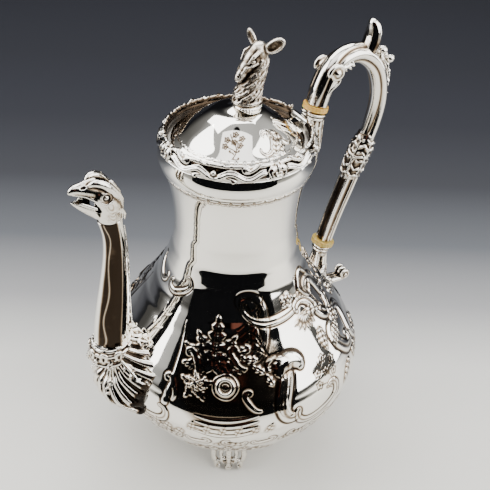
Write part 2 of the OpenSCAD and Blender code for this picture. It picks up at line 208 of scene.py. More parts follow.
def placed(path, x=0.0, y=0.0, turn=0.0, flip=False):
    """Move a flat path: mirror it left to right, turn it in degrees, then shift it."""
    p = np.asarray(path, float) * ([-1, 1] if flip else [1, 1])
    c, s = np.cos(np.radians(turn)), np.sin(np.radians(turn))
    return p @ np.array([[c, s], [-s, c]]) + [x, y]


def bulge(ends=0.45, power=1.0, count=2 * CURL_POINTS - 1):
    """Relative width along a stroke: 1 in the middle, ends at both ends."""
    t = np.abs(np.linspace(-1, 1, count))
    return ends + (1 - ends) * (1 - t ** (1 + power))


# %% Wax for castings
class Wax:
    """Rods and drops joined in a grid of distances, all in mm. cell is the grid's spacing."""

    def __init__(self, low, high, cell=0.4):
        self.low = np.asarray(low, float)
        self.cell = cell
        shape = np.ceil((np.asarray(high, float) - self.low) / cell).astype(int) + 1
        self.axes = [self.low[k] + cell * np.arange(shape[k]) for k in range(3)]
        self.reach = 4 * cell
        self.field = np.full(shape, self.reach, np.float32)

    def window(self, low, high):
        cut = []
        for k in range(3):
            first = int(np.clip((low[k] - self.low[k]) // self.cell, 0, len(self.axes[k]) - 1))
            last = int(np.clip((high[k] - self.low[k]) // self.cell + 2, first + 1, len(self.axes[k])))
            cut.append(slice(first, last))
        x, y, z = (self.axes[k][cut[k]] for k in range(3))
        return tuple(cut), x[:, None, None], y[None, :, None], z[None, None, :]

    def blend(self, cut, distance, soft):
        """Join a shape. soft is how many mm of fillet the joint gets."""
        old = self.field[cut]
        mix = np.clip(0.5 + 0.5 * (old - distance) / soft, 0, 1)
        self.field[cut] = old + (distance - old) * mix - soft * mix * (1 - mix)

    def carve(self, cut, distance, soft=0.3):
        """Take a shape away."""
        old, gone = self.field[cut], -distance
        mix = np.clip(0.5 - 0.5 * (old - gone) / soft, 0, 1)
        self.field[cut] = old + (gone - old) * mix + soft * mix * (1 - mix)

    def rod(self, points, radii, soft=0.3, cut_away=False):
        """A rod of round section along points, with a radius at each."""
        p = np.asarray(points, float)
        r = np.broadcast_to(np.asarray(radii, float), (len(p),))
        for a, b, ra, rb in zip(p[:-1], p[1:], r[:-1], r[1:]):
            pad = max(ra, rb) + self.reach
            cut, x, y, z = self.window(np.minimum(a, b) - pad, np.maximum(a, b) + pad)
            ab = b - a
            t = ((x - a[0]) * ab[0] + (y - a[1]) * ab[1] + (z - a[2]) * ab[2]) / max(ab @ ab, 1e-9)
            t = np.clip(t, 0, 1)
            away = np.sqrt((x - a[0] - ab[0] * t) ** 2 + (y - a[1] - ab[1] * t) ** 2
                           + (z - a[2] - ab[2] * t) ** 2)
            shape = (away - (ra + (rb - ra) * t)).astype(np.float32)
            (self.carve if cut_away else self.blend)(cut, shape, soft)

    def drop(self, centre, radii, axes=None, soft=0.4, cut_away=False):
        """An ellipsoid. axes, if given, are its three directions as rows."""
        centre, radii = np.asarray(centre, float), np.broadcast_to(np.asarray(radii, float), (3,))
        axes = np.eye(3) if axes is None else np.asarray(axes, float)
        pad = radii.max() + self.reach
        cut, x, y, z = self.window(centre - pad, centre + pad)
        part = [((x - centre[0]) * n[0] + (y - centre[1]) * n[1] + (z - centre[2]) * n[2]) for n in axes]
        k0 = np.sqrt(sum((q / a) ** 2 for q, a in zip(part, radii))) + 1e-6
        k1 = np.sqrt(sum((q / a**2) ** 2 for q, a in zip(part, radii))) + 1e-6
        shape = (k0 * (k0 - 1) / k1).astype(np.float32)
        (self.carve if cut_away else self.blend)(cut, shape, soft)

    def places(self):
        """The x, y and z of every place in the grid, shaped so that they combine."""
        return (a.reshape([-1 if k == i else 1 for i in range(3)]) for k, a in enumerate(self.axes))

    def trim(self, distance):
        """Keep only what lies where the distance is below nought."""
        self.field = np.maximum(self.field, distance).astype(np.float32)

    def keep_outside_body(self, sink=0.5):
        """Trim what lies deeper than sink under the vessel's skin."""
        x, y, z = self.places()
        rho = np.sqrt(x**2 + y**2)
        skin = np.where((z > BASE_Z - 2) & (z < TOP_Z), body_radius(np.clip(z, BASE_Z, TOP_Z)), 0)
        self.trim((skin - sink - rho) * 0.8)

    def skin(self, name, material, dark=0.9, smooth=1, sunk=None):
        """The finished casting as an object, tarnished where it is hollow and, by sunk, darkened where set
        back; on the feet that darkening is painted shade.
        """
        grid = openvdb.FloatGrid(background=self.reach)
        grid.copyFromArray(np.clip(self.field, -self.reach, self.reach))
        points, _, quads = grid.convertToPolygons(isovalue=0.0, adaptivity=0.0)
        points, quads = points.astype(float), quads.astype(np.int64)
        near = neighbour_mean(len(points), quads)
        for _ in range(smooth):
            points = points + 0.5 * (near(points) - points)
        spots = np.clip(np.round(points).astype(int), 0, np.array(self.field.shape) - 1)
        recess = np.zeros(len(points))
        for reach, flat_share, span in ((1.2, 0.48, 0.12), (2.6, 0.46, 0.16)):
            closed = crowding(self.field, self.cell, reach)
            full = near(closed[spots[:, 0], spots[:, 1], spots[:, 2]][:, None])[:, 0]
            # half full is flat; more metal than that round a point means it lies in a hollow
            recess = np.maximum(recess, np.clip((full - flat_share) / span, 0, 1))
        if sunk is not None:
            recess = np.maximum(recess, sunk(points * self.cell + self.low))
        recess = near(recess[:, None])[:, 0] * dark
        return make_object(name, points * self.cell + self.low, quads, material, recess)


def crowding(field, cell, reach):
    """The share of metal in a box of reach mm round each place."""
    share = np.clip(0.5 - field / (1.6 * cell), 0, 1).astype(np.float32)
    n = max(int(round(reach / cell)), 1)
    for axis in range(3):
        pad = [(n + 1, n) if k == axis else (0, 0) for k in range(3)]
        run = np.cumsum(np.pad(share, pad, mode="edge"), axis=axis, dtype=np.float64)
        size = share.shape[axis]
        share = ((np.take(run, np.arange(2 * n + 1, 2 * n + 1 + size), axis)
                  - np.take(run, np.arange(size), axis))
                 / (2 * n + 1)).astype(np.float32)
    return share


def neighbour_mean(count, quads):
    """A function that averages values over each point's neighbours."""
    a = np.concatenate([quads[:, k] for k in range(4)])
    b = np.concatenate([quads[:, (k + 1) % 4] for k in range(4)])
    weight = np.bincount(a, minlength=count) + np.bincount(b, minlength=count)
    weight = np.maximum(weight, 1)[:, None]

    def mean(values):
        total = np.stack([
            np.bincount(a, values[b, k], count) + np.bincount(b, values[a, k], count)
            for k in range(values.shape[1])], 1)
        return total / weight

    return mean

# %% [markdown]
# ## Finishes
# Silver is buffed to a mirror, so nearly all it shows is the room. What tells the eye that it is
# old silver is small: fine wheel marks that widen the highlights, and brown sulphide that is
# polished off the high places and stays in the hollows. The same dark brown is also used as painted
# shade and painted dark reflection on the spout's side panels and behind the feet. The rings are
# yellowed ivory-like bone.

# %% Node helper and colours
def linear(hex_colour):
    """A colour as picked on screen, like "#F4F1E8", as the linear values that light needs."""
    srgb = [int(hex_colour[i : i + 2], 16) / 255 for i in (1, 3, 5)]
    return [c / 12.92 if c <= 0.04045 else ((c + 0.055) / 1.055) ** 2.4 for c in srgb] + [1.0]


def add(tree, kind, settings=None, **links):
    """Add a node. Settings are node options; links give a value or another node's output."""
    node = tree.nodes.new(kind)
    for key, value in (settings or {}).items():
        setattr(node, key, value)
    for key, value in links.items():
        socket = node.inputs[int(key[1:])] if key[0] == "_" else node.inputs[key.replace("_", " ")]
        if isinstance(value, bpy.types.NodeSocket):
            tree.links.new(value, socket)
        else:
            socket.default_value = value
    return node


def new_material(name):
    material = bpy.data.materials.new(name)
    material.use_nodes = True
    material.node_tree.nodes.clear()
    return material, material.node_tree


def ramp(tree, factor, *stops):
    """A colour ramp from (place, colour) pairs. A colour is a hex text or a grey number."""
    node = add(tree, "ShaderNodeValToRGB", Fac=factor)
    while len(node.color_ramp.elements) < len(stops):
        node.color_ramp.elements.new(0.5)
    for element, (place, colour) in zip(node.color_ramp.elements, stops):
        element.position = place
        element.color = linear(colour) if isinstance(colour, str) else [colour] * 3 + [1.0]
    return node.outputs["Color"]


# %% Silver
SILVER = "#F8F5EE"
SULPHIDE_AND_SHADE = "#17120E"


def silver(name, roughness, grain_mm, grain_height_mm, sulphide_and_shade_gain, film):
    """Polished silver. The grain is the skin's unevenness, and film how much of a warm grey bloom the open
    metal has.
    The recess map, scaled by the number before film, darkens the metal: brown sulphide left in hollows, and
    also painted shade and painted dark reflection where a part's map carries them."""
    material, tree = new_material(name)
    place = add(tree, "ShaderNodeTexCoord").outputs["Object"]
    hollow = add(tree, "ShaderNodeAttribute", {"attribute_name": "recess"}).outputs["Fac"]
    cloud = add(tree, "ShaderNodeTexNoise", Vector=place, Scale=1 / (9 * MM), Detail=4.0)
    stain = add(tree, "ShaderNodeMath", {"operation": "MULTIPLY_ADD"},
                _0=cloud.outputs["Fac"], _1=0.6, _2=0.75)
    sulphide_and_shade_mix = add(tree, "ShaderNodeMath", {"operation": "MULTIPLY", "use_clamp": True},
               _0=hollow, _1=stain.outputs[0])
    sulphide_and_shade_mix = add(tree, "ShaderNodeMath", {"operation": "MULTIPLY_ADD", "use_clamp": True},
               _0=sulphide_and_shade_mix.outputs[0], _1=sulphide_and_shade_gain, _2=film)
    # the recess map goes to brown sulphide in hollows; on the spout panels and the feet it is painted shade
    # and painted dark reflection
    colour = ramp(tree, sulphide_and_shade_mix.outputs[0], (0.0, SILVER), (0.3, "#A89A88"), (0.65, "#5A4B3C"), (1.0, SULPHIDE_AND_SHADE))
    # wheel marks: a noise stretched along one way, so it reads as faint hairlines
    stretched = add(tree, "ShaderNodeMapping", Vector=place, Scale=(1.0, 1.0, 0.12))
    hairs = add(tree, "ShaderNodeTexNoise", Vector=stretched.outputs[0], Scale=1 / (0.7 * MM), Detail=3.0)
    worn = add(tree, "ShaderNodeMath", {"operation": "MULTIPLY_ADD"},
               _0=hairs.outputs["Fac"], _1=0.06, _2=roughness - 0.03)
    rough = add(tree, "ShaderNodeMath", {"operation": "MULTIPLY_ADD", "use_clamp": True},
                _0=sulphide_and_shade_mix.outputs[0], _1=0.18, _2=worn.outputs[0])
    grain = add(tree, "ShaderNodeTexNoise", Vector=place, Scale=1 / (grain_mm * MM), Detail=2.0)
    bump = add(tree, "ShaderNodeBump", Strength=1.0, Distance=grain_height_mm * MM,
               Height=grain.outputs["Fac"])
    skin = add(tree, "ShaderNodeBsdfPrincipled", Base_Color=colour, Metallic=1.0,
               Roughness=rough.outputs[0], Normal=bump.outputs[0])
    add(tree, "ShaderNodeOutputMaterial", Surface=skin.outputs[0])
    return material


raised_silver = silver("mirror_polished_silver", 0.045, 14.0, 0.05, 0.95, 0.0)
cast_silver = silver("cast_chased_silver", 0.10, 0.9, 0.02, 1.0, 0.06)
doe_silver = silver("matted_and_toned_silver", 0.24, 0.45, 0.05, 1.0, 0.16)
inner_silver = silver("unpolished_inner_silver", 0.32, 0.5, 0.02, 1.0, 0.12)

# %% Yellowed bone
def bone(name, pale, deep):
    """Turned bone: faint rings of growth, a waxy surface, light passing a little way in."""
    material, tree = new_material(name)
    place = add(tree, "ShaderNodeTexCoord").outputs["Object"]
    growth = add(tree, "ShaderNodeTexWave", {"wave_type": "RINGS", "rings_direction": "Z"},
                 Vector=place, Scale=1 / (6 * MM), Distortion=3.0, Detail=2.0)
    patch = add(tree, "ShaderNodeTexNoise", Vector=place, Scale=1 / (4 * MM), Detail=3.0)
    mixed = add(tree, "ShaderNodeMath", {"operation": "MULTIPLY"},
                _0=growth.outputs["Fac"], _1=patch.outputs["Fac"])
    colour = ramp(tree, mixed.outputs[0], (0.0, deep), (0.6, pale))
    pores = add(tree, "ShaderNodeTexNoise", Vector=place, Scale=1 / (0.35 * MM), Detail=2.0)
    bump = add(tree, "ShaderNodeBump", Strength=0.6, Distance=0.03 * MM, Height=pores.outputs["Fac"])
    skin = add(tree, "ShaderNodeBsdfPrincipled", Base_Color=colour, Roughness=0.3,
               Subsurface_Weight=0.25, Subsurface_Scale=1.2 * MM, Normal=bump.outputs[0])
    add(tree, "ShaderNodeOutputMaterial", Surface=skin.outputs[0])
    return material


honey_bone = bone("honey_bone", "#D9B25C", "#C69A48")
olive_bone = bone("olive_bone", "#BFA65A", "#A38A45")

# %% [markdown]
# ## The room
# A mirror needs a room. The pot stands on pale paper whose colour is painted from pale to dark grey going
# back, as painted shade.
# Soft windows stand to the left, to the right, behind and above, and a weak one over the camera
# lights the lid. A black card between the left and right windows gives the dark upright shape
# on the belly and the dark band on the collar. It is staging, not part of the pot.

# %% Camera at the photographed angle
VIEW_AZ, VIEW_EL, VIEW_ROLL = np.radians([-30.0, 37.3, 1.99])
toward = Vector((np.sin(VIEW_AZ) * np.cos(VIEW_EL), -np.cos(VIEW_AZ) * np.cos(VIEW_EL), np.sin(VIEW_EL)))
right = Vector((np.cos(VIEW_AZ), np.sin(VIEW_AZ), 0))
up = toward.cross(right)
aim = Vector((0, 0, 149.1)) * MM + right * 6.0 * MM
camera_data = bpy.data.cameras.new("camera")
camera_data.lens = 52.9
camera_data.sensor_width = 36.0
camera_data.clip_start = 0.01
camera = bpy.data.objects.new("camera", camera_data)
bpy.context.scene.collection.objects.link(camera)
bpy.context.scene.camera = camera
level_x = right * np.cos(VIEW_ROLL) + up * np.sin(VIEW_ROLL)
level_y = toward.cross(level_x)
camera.matrix_world = Matrix.Translation(aim + toward * 440.4 * MM) @ Matrix(
    (level_x, level_y, toward)).transposed().to_4x4()
print("camera, mm:", [round(c / MM) for c in camera.location])

# %% Paper floor
def paper():
    """Matt pale paper with painted shade: its colour goes from pale to dark grey going away from the camera.
    """
    material, tree = new_material("pale_paper_painted_shade")
    place = add(tree, "ShaderNodeTexCoord").outputs["Object"]
    away = add(tree, "ShaderNodeVectorMath", {"operation": "DOT_PRODUCT"},
               _0=place, _1=(-toward.x / np.cos(VIEW_EL), -toward.y / np.cos(VIEW_EL), 0))
    depth = add(tree, "ShaderNodeMapRange", Value=away.outputs["Value"],
                From_Min=-0.1, From_Max=0.9)
    # painted shade: colour stops from the pale front to the dark back
    colour = ramp(tree, depth.outputs[0], (0.0, "#D8D6CF"), (0.088, "#D4D2CC"), (0.146, "#C4C3BF"),
                  (0.217, "#8A8A8B"), (0.304, "#55575B"), (0.412, "#36373B"), (0.551, "#2B2C31"),
                  (0.735, "#27282D"), (0.965, "#26272C"))
    fibre = add(tree, "ShaderNodeTexNoise", Vector=place, Scale=1 / (1.5 * MM), Detail=4.0)
    bump = add(tree, "ShaderNodeBump", Strength=0.2, Distance=0.1 * MM, Height=fibre.outputs["Fac"])
    skin = add(tree, "ShaderNodeBsdfPrincipled", Base_Color=colour, Roughness=0.9,
               Specular_IOR_Level=0.05, Normal=bump.outputs[0])
    add(tree, "ShaderNodeOutputMaterial", Surface=skin.outputs[0])
    return material


reach = 3000.0
bend = np.linspace(0, np.pi / 2, 12)
sweep_y = np.concatenate([[-reach, 1100], 1100 + 500 * np.sin(bend[1:])])
sweep_z = np.concatenate([[0, 0], 500 - 500 * np.cos(bend[1:])])
away_dir = np.array([-toward.x, -toward.y]) / np.cos(VIEW_EL)
side_dir = np.array([right.x, right.y])
flat = np.array([[*(away_dir * y + side_dir * x), z] for y,
                 z in zip(sweep_y, sweep_z) for x in (-reach, reach)])
floor = make_object("floor", flat, grid_faces(len(sweep_y), 2, wrap=False), paper())

# %% Soft lights and the dim room
def soft_light(name, centre, size, power, target=(0, 0, 120)):
    """A soft window of a size in mm, facing the target."""
    data = bpy.data.lights.new(name, "AREA")
    data.shape = "RECTANGLE"
    data.size, data.size_y = size[0] * MM, size[1] * MM
    data.energy = power
    light = bpy.data.objects.new(name, data)
    bpy.context.scene.collection.objects.link(light)
    light.location = Vector(centre) * MM
    light.rotation_euler = (light.location - Vector(target) * MM).to_track_quat("Z", "Y").to_euler()
    return light


def around(azimuth, elevation, distance):
    """A place seen from the pot: azimuth in the frame's own degrees, counter-clockwise from +X."""
    a, e = np.radians([azimuth, elevation])
    return (distance * np.cos(a) * np.cos(e), distance * np.sin(a) * np.cos(e), distance * np.sin(e))


for light_name, azimuth, elevation, distance, size, power in (
        ("window_left", 152, 36, 1200, (800, 1100), 15),
        ("window_right", 306, 38, 1200, (1100, 1200), 19),
        ("window_top", 75, 66, 1400, (1400, 900), 22),
        ("window_front", 236, 69, 1300, (950, 800), 5),
        ("strip_right", 345, 18, 1200, (350, 900), 5)):
    soft_light(light_name, around(azimuth, elevation, distance), size, power)


def blob(tree, ray, azimuth, elevation, inner, outer):
    """How much a ray looks within a cone of the room: 1 inside inner degrees, 0 past outer."""
    aim_at = Vector(around(azimuth, elevation, 1.0))
    near_it = add(tree, "ShaderNodeVectorMath", {"operation": "DOT_PRODUCT"}, _0=ray, _1=aim_at)
    return add(tree, "ShaderNodeMapRange", {"interpolation_type": "SMOOTHSTEP"},
               Value=near_it.outputs["Value"],
               From_Min=float(np.cos(np.radians(outer))),
               From_Max=float(np.cos(np.radians(inner)))).outputs[0]


def mixed(tree, factor, first, second):
    node = add(tree, "ShaderNodeMix", {"data_type": "RGBA"}, _0=factor)
    for socket, value in ((node.inputs[6], first), (node.inputs[7], second)):
        if isinstance(value, bpy.types.NodeSocket):
            tree.links.new(value, socket)
        else:
            socket.default_value = linear(value)
    return node.outputs[2]


world = bpy.data.worlds.new("room")
bpy.context.scene.world = world
world.use_nodes = True
world.node_tree.nodes.clear()
sky = world.node_tree
ray = add(sky, "ShaderNodeTexCoord").outputs["Generated"]
height = add(sky, "ShaderNodeSeparateXYZ", Vector=ray)
walls = ramp(sky,
             add(sky, "ShaderNodeMapRange", Value=height.outputs["Z"], From_Min=-0.1,
                 From_Max=1.0).outputs[0],
             (0.0, "#4F4E4C"), (0.25, "#63625F"), (0.55, "#8C8B89"), (0.8, "#DDDDDB"), (1.0, "#F4F4F2"))
for azimuth, elevation, inner, outer, colour in (
        (158, 30, 14, 36, "#F4F4F2"),  # three pale walls
        (302, 34, 14, 34, "#F4F4F2"),
        (350, 30, 8, 30, "#F4F4F2"),
        (62, 0, 26, 48, "#19191C"),  # the dark end of the room, behind the pot
        (229, 20, 38, 43, "#060505"),  # the unlit side the camera stands on
        (246, 22, 3, 8, "#8A5243"),  # three warm spots in it
        (244, 36, 2, 7, "#8A5243"),
        (224, 34, 2, 6, "#6A3E34"),
        (240, 70, 12, 20, "#FFFFFF"),  # a pale ceiling with a small dark opening
        (215, 86, 4, 6, "#0C0B0B")):
    walls = mixed(sky, blob(sky, ray, azimuth, elevation, inner, outer), walls, colour)
back = add(sky, "ShaderNodeBackground", Color=walls, Strength=0.75)
add(sky, "ShaderNodeOutputWorld", Surface=back.outputs[0])

# %% A dark flag below the camera's line of sight
FLAG_AWAY, FLAG_TOP, FLAG_STEPS = 620, 340, 32
FLAG_FOOT, FLAG_LIFT = 4, 90


def flag():
    """A black card, as photographers stand before a mirror-bright piece to give it an edge."""
    material, tree = new_material("black_flock_card")
    place = add(tree, "ShaderNodeTexCoord").outputs["Object"]
    nap = add(tree, "ShaderNodeTexNoise", Vector=place, Scale=1 / (2 * MM), Detail=3.0)
    colour = ramp(tree, nap.outputs["Fac"], (0.3, "#020203"), (0.7, "#060709"))
    skin = add(tree, "ShaderNodeBsdfPrincipled", Base_Color=colour, Roughness=0.9, Specular_IOR_Level=0.05)
    add(tree, "ShaderNodeOutputMaterial", Surface=skin.outputs[0])
    turn = np.radians(np.linspace(182, 294, FLAG_STEPS))
    # its foot is cut to an arch upside down, so the pot shows a round-topped dark shape
    foot_z = FLAG_FOOT + FLAG_LIFT * np.abs(np.linspace(-1, 1, FLAG_STEPS)) ** 5
    foot, top = (np.stack([FLAG_AWAY * np.cos(turn), FLAG_AWAY * np.sin(turn), z + 0 * turn], 1)
                 for z in (foot_z, FLAG_TOP))
    return make_object("black_flag", np.vstack([foot, top]), grid_faces(2, FLAG_STEPS, wrap=False), material)


flag()

# %% [markdown]
# ## Chasing
# A chaser fills the raised vessel with pitch and drives scrolls, flowers and leaves up from
# inside and down from outside. Here the skin is a fine grid round the profile, and each stroke
# of the punch is added to a height map measured in mm on the surface. One side is drawn and
# mirrored, as on the real pot, through the plane of spout and handle.

# %% The grid of the skin
class Skin:
    """A height map on a turned surface. Places are given as degrees round and height in mm."""

    def __init__(self, radius, rows, columns):
        self.z = np.asarray(rows, float)
        self.r = radius(self.z)
        self.phi = 180 + (np.arange(columns // 2) + 0.5) * 360 / columns
        self.run = np.concatenate([[0], np.cumsum(np.hypot(np.diff(self.z), np.diff(self.r)))])
        self.up = np.zeros((len(self.z), columns // 2))
        self.dark = np.zeros_like(self.up)

    def near(self, phi, z, reach):
        """The part of the grid within reach of a place, and its local x and y in mm."""
        here = np.interp(z, self.z, self.run)
        r = np.interp(z, self.z, self.r)
        rows = slice(*np.searchsorted(self.run, [here - reach, here + reach]))
        span = np.degrees(reach / r) * 1.15
        columns = slice(*np.searchsorted(self.phi, [phi - span, phi + span]))
        y = (self.run[rows] - here)[:, None]
        x = np.radians(self.phi[columns] - phi)[None] * self.r[rows][:, None]
        return (rows, columns), x, y + 0 * x

    def stroke(self, phi, z, path, width, height, groove=0.0, sharp=1.0, shade=0.0):
        """Raise (or with a negative height, cut) a stroke along a path of local mm."""
        p = np.asarray(path, float)
        w = np.broadcast_to(np.asarray(width, float), (len(p),))
        cut, x, y = self.near(phi, z, np.abs(p).max() + w.max() + 2)
        if x.size == 0:
            return
        best = np.full(x.shape, 9.0)
        thick = np.full(x.shape, w.max())
        for a, b, wa, wb in zip(p[:-1], p[1:], w[:-1], w[1:]):
            ab = b - a
            t = np.clip(((x - a[0]) * ab[0] + (y - a[1]) * ab[1]) / max(ab @ ab, 1e-9), 0, 1)
            wide = wa + (wb - wa) * t
            d = np.hypot(x - a[0] - ab[0] * t, y - a[1] - ab[1] * t) / wide
            thick = np.where(d < best, wide, thick)
            best = np.minimum(best, d)
        inside = np.clip(1 - best**2, 0, 1)
        shape = height * inside**sharp * np.clip(thick / w.max(), 0.35, 1)
        if height > 0:
            shape = shape - groove * np.exp(-((best / 0.30) ** 2)) * (best < 1)
            self.up[cut] = np.where(best < 1, np.maximum(self.up[cut] * best**2 + shape, shape), self.up[cut])
            # the tool drives the ground down beside the stroke, and tarnish stays there
            self.up[cut] -= 0.16 * height**0.5 * np.exp(-(((best - 1.12) / 0.16) ** 2))
            edge = 0.75 * np.exp(-(((best - 1.1) / 0.16) ** 2))
            edge = edge + (groove > 0) * 0.5 * np.exp(-((best / 0.22) ** 2))
            self.dark[cut] = np.maximum(self.dark[cut] * np.clip(best, 0, 1), edge)
        else:
            self.up[cut] += shape
            self.dark[cut] = np.maximum(self.dark[cut], shade * inside)

    def leaf(self, phi, z, heading, length, width, height, lobes=4, bend=0.0):
        """A leaf with a feathered edge and side veins, starting at the place given."""
        cut, x, y = self.near(phi, z, length * 1.15)
        if x.size == 0:
            return
        c, s = np.cos(np.radians(heading)), np.sin(np.radians(heading))
        a = (x * c + y * s) / length
        b = -x * s + y * c - bend * length * a**2
        ac = np.clip(a, 1e-4, 1)
        comb = lobes * ac - 0.30 * np.abs(b) / width
        lobe = 0.5 - 0.5 * np.cos(2 * np.pi * comb)
        barb = 0.5 - 0.5 * np.cos(6 * np.pi * comb)
        half = width * np.sin(np.pi * ac**0.8) * (0.62 + 0.38 * lobe**0.7) + 0.05
        t = np.clip(np.abs(b) / half, 0, 3)
        inside = (a > 0) & (a < 1) & (t < 1)
        shape = height * np.clip(1 - t**2, 0, 1) ** 0.5 * (0.6 + 0.25 * lobe + 0.15 * barb)
        shape -= 0.4 * height * np.exp(-((b / (0.08 * width + 0.15)) ** 2))
        self.up[cut] = np.where(inside, np.maximum(self.up[cut], 0.25 * self.up[cut] + shape), self.up[cut])
        vein = (0.5 * (1 - lobe) ** 3 + 0.25 * (1 - barb) ** 2 * t + 0.5 * np.exp(-((b / 0.3) ** 2))
                + np.clip((t - 0.85) * 5, 0, 1))
        self.dark[cut] = np.where(inside, np.maximum(0.2 * self.dark[cut], np.clip(vein, 0, 1)),
                                  self.dark[cut])

    def flower(self, phi, z, radius, petals, height, layers=2, turn=0.0):
        """A rosette of petal rings round a seeded boss."""
        cut, x, y = self.near(phi, z, radius * 1.15)
        if x.size == 0:
            return
        rho, angle = np.hypot(x, y) / radius, np.arctan2(y, x) + np.radians(turn)
        shape, dark = np.zeros_like(rho), np.zeros_like(rho)
        for k in range(layers):
            outer = 1 - 0.36 * k
            wave = np.abs(np.cos(petals * angle / 2 + k * np.pi / 2))
            edge = outer * (0.74 + 0.26 * wave)
            t = rho / edge
            lip = np.clip((1 - t) * 7, 0, 1) ** 0.5
            cup = height * (0.55 + 0.3 * k) * np.clip(1.25 * t - 0.2, 0.15, 1) * lip
            cup = cup * (0.55 + 0.45 * wave**0.5)
            shape = np.where(t < 1, np.maximum(cup, shape * (0.3 if k else 1)), shape)
            dark = np.where(t < 1,
                            np.clip((1 - wave) ** 2 + 0.9 * np.exp(-((t - 0.42) / 0.16) ** 2), 0, 1), dark)
        seed = rho < 0.24
        shape = np.where(seed, height * (0.75 + 0.35 * np.sqrt(np.clip(1 - (rho / 0.24) ** 2, 0, 1))), shape)
        dark = np.where(seed, 0.35 * (np.sin(x * 7) * np.sin(y * 7) > 0), dark)
        inside = rho < 1
        self.up[cut] = np.where(inside & (shape > 0), shape + 0.2 * np.clip(self.up[cut], 0, 2), self.up[cut])
        self.dark[cut] = np.where(inside, dark, self.dark[cut])

    def ground(self, phi, z, width, tall, depth=0.12):
        """A patch of matted ground, struck all over with a fine punch."""
        cut, x, y = self.near(phi, z, max(width, tall))
        soft = np.clip((1.1 - np.hypot(x / width, y / tall)) * 4, 0, 1)
        punch = np.abs(np.sin(x * 4.1 + 1.3 * np.sin(y * 2.9)) * np.sin(y * 4.3 + 1.1 * np.sin(x * 3.1)))
        self.up[cut] -= soft * depth * (0.4 + 0.6 * punch)
        self.dark[cut] = np.maximum(self.dark[cut], soft * (0.3 + 0.45 * punch))

    def engrave(self, phi, z, path, width=0.4, depth=0.07, shade=0.85):
        self.stroke(phi, z, path, width, -depth, shade=shade)

    def spray(self, phi, z, size, flip=1):
        """An engraved sprig, all in fine line: small flowers on a bent stem, with tendrils below."""
        t = np.linspace(0, 1, 14)
        stem = np.stack([flip * size * 0.28 * np.sin(t * 4.5), size * (2 * t - 1)], 1)
        self.engrave(phi, z, stem, 0.3)
        ring = np.stack([np.cos(2 * np.pi * t), np.sin(2 * np.pi * t)], 1)
        for across, up in ((0.10, 1.0), (0.62, 0.66), (-0.50, 0.50), (0.52, 0.12), (-0.62, -0.04),
                           (0.05, 0.36)):
            centre = size * np.array([flip * across, up])
            root = stem[np.abs(stem[:, 1] - centre[1] + 0.3 * size).argmin()]
            self.engrave(phi, z, [root, (root + centre) / 2 + [0.1 * size, 0], centre], 0.26)
            petals = (1 + 0.30 * np.cos(10 * np.pi * t))[:, None]
            self.engrave(phi, z, centre + ring * petals * size * 0.19, 0.36)
            self.engrave(phi, z, centre + ring * size * 0.05, 0.4)
        for way, up in ((1, -0.35), (-1, -0.60), (1, -0.95)):
            tendril = curl(size * 0.62, 60, 320 * way, heading=90 - 80 * way, tight=2.0, count=14)
            self.engrave(phi, z, tendril - tendril[0] + [flip * 0.1 * size, up * size], 0.32)

    def both_sides(self):
        return np.hstack([self.up, self.up[:, ::-1]]), np.hstack([self.dark, self.dark[:, ::-1]])


def turned_points(skin, up):
    """Points of the grid with its heights added along the surface's own normal."""
    columns = up.shape[1]
    phi = np.radians(180 + (np.arange(columns) + 0.5) * 360 / columns)
    dr, dz = np.gradient(skin.r, skin.run), np.gradient(skin.z, skin.run)
    rho = skin.r[:, None] + up * dz[:, None]
    z = skin.z[:, None] - up * dr[:, None]
    return np.stack([rho * np.cos(phi), rho * np.sin(phi), z + 0 * phi], -1).reshape(-1, 3)


def soft_cut(up, rounds=1):
    """Blunt the height map a little, as metal does under a punch."""
    for _ in range(rounds):
        p = np.pad(up, ((1, 1), (1, 1)), mode="edge")
        up = (4 * up + p[:-2, 1:-1] + p[2:, 1:-1] + p[1:-1, :-2] + p[1:-1, 2:]) / 8
    return up


# %% Draw the body's relief, spout at 180 degrees, handle at 360
fine = 1
rows = np.concatenate([
    np.linspace(BASE_Z, 52, 56 // fine, endpoint=False),
    np.linspace(52, 150, 330 // fine, endpoint=False),
    np.linspace(150, 200, 50 // fine, endpoint=False),
    np.linspace(200, TOP_Z, 26 // fine)])
body = Skin(body_radius, rows, 1200 // fine)


def ringed_flower(s, phi, z, radius):
    """A round flower seen as rings: overlapping petals, a rolled rim, and a hollow eye."""
    t = np.linspace(0, 2 * np.pi, 40)
    circle = np.stack([np.cos(t), np.sin(t)], 1)
    for k in range(5):
        arc = circle[:16] * radius * 0.92 @ turned(72 * k)
        s.stroke(phi, z, arc, bulge(0.3, count=16) * radius * 0.2, 0.7)
    s.stroke(phi, z, circle * radius * 0.60, radius * 0.24, 1.6)
    s.stroke(phi, z, circle * radius * 0.22, radius * 0.12, 0.7)
    s.stroke(phi, z, circle * radius * 0.04, radius * 0.12, 0.8)


def turned(degrees):
    """A matrix that turns rows of flat points."""
    c, s = np.cos(np.radians(degrees)), np.sin(np.radians(degrees))
    return np.array([[c, s], [-s, c]])


def ragged_rose(s, phi, z, radius):
    """An open rose: rings of folded petals, each ring turned past the last."""
    t = np.linspace(0, 2 * np.pi, 12)
    for ring, (out, size) in enumerate(((0.78, 0.34), (0.50, 0.28), (0.24, 0.2))):
        for k in range(6 - ring):
            a = 2 * np.pi * k / (6 - ring) + 0.6 * ring
            centre = np.array([np.cos(a), np.sin(a)]) * radius * out
            petal = np.stack([np.cos(t), np.sin(t)], 1)[3:10] * radius * size @ turned(np.degrees(a)) + centre
            s.stroke(phi, z, petal, radius * 0.13, 1.0 + 0.3 * ring)


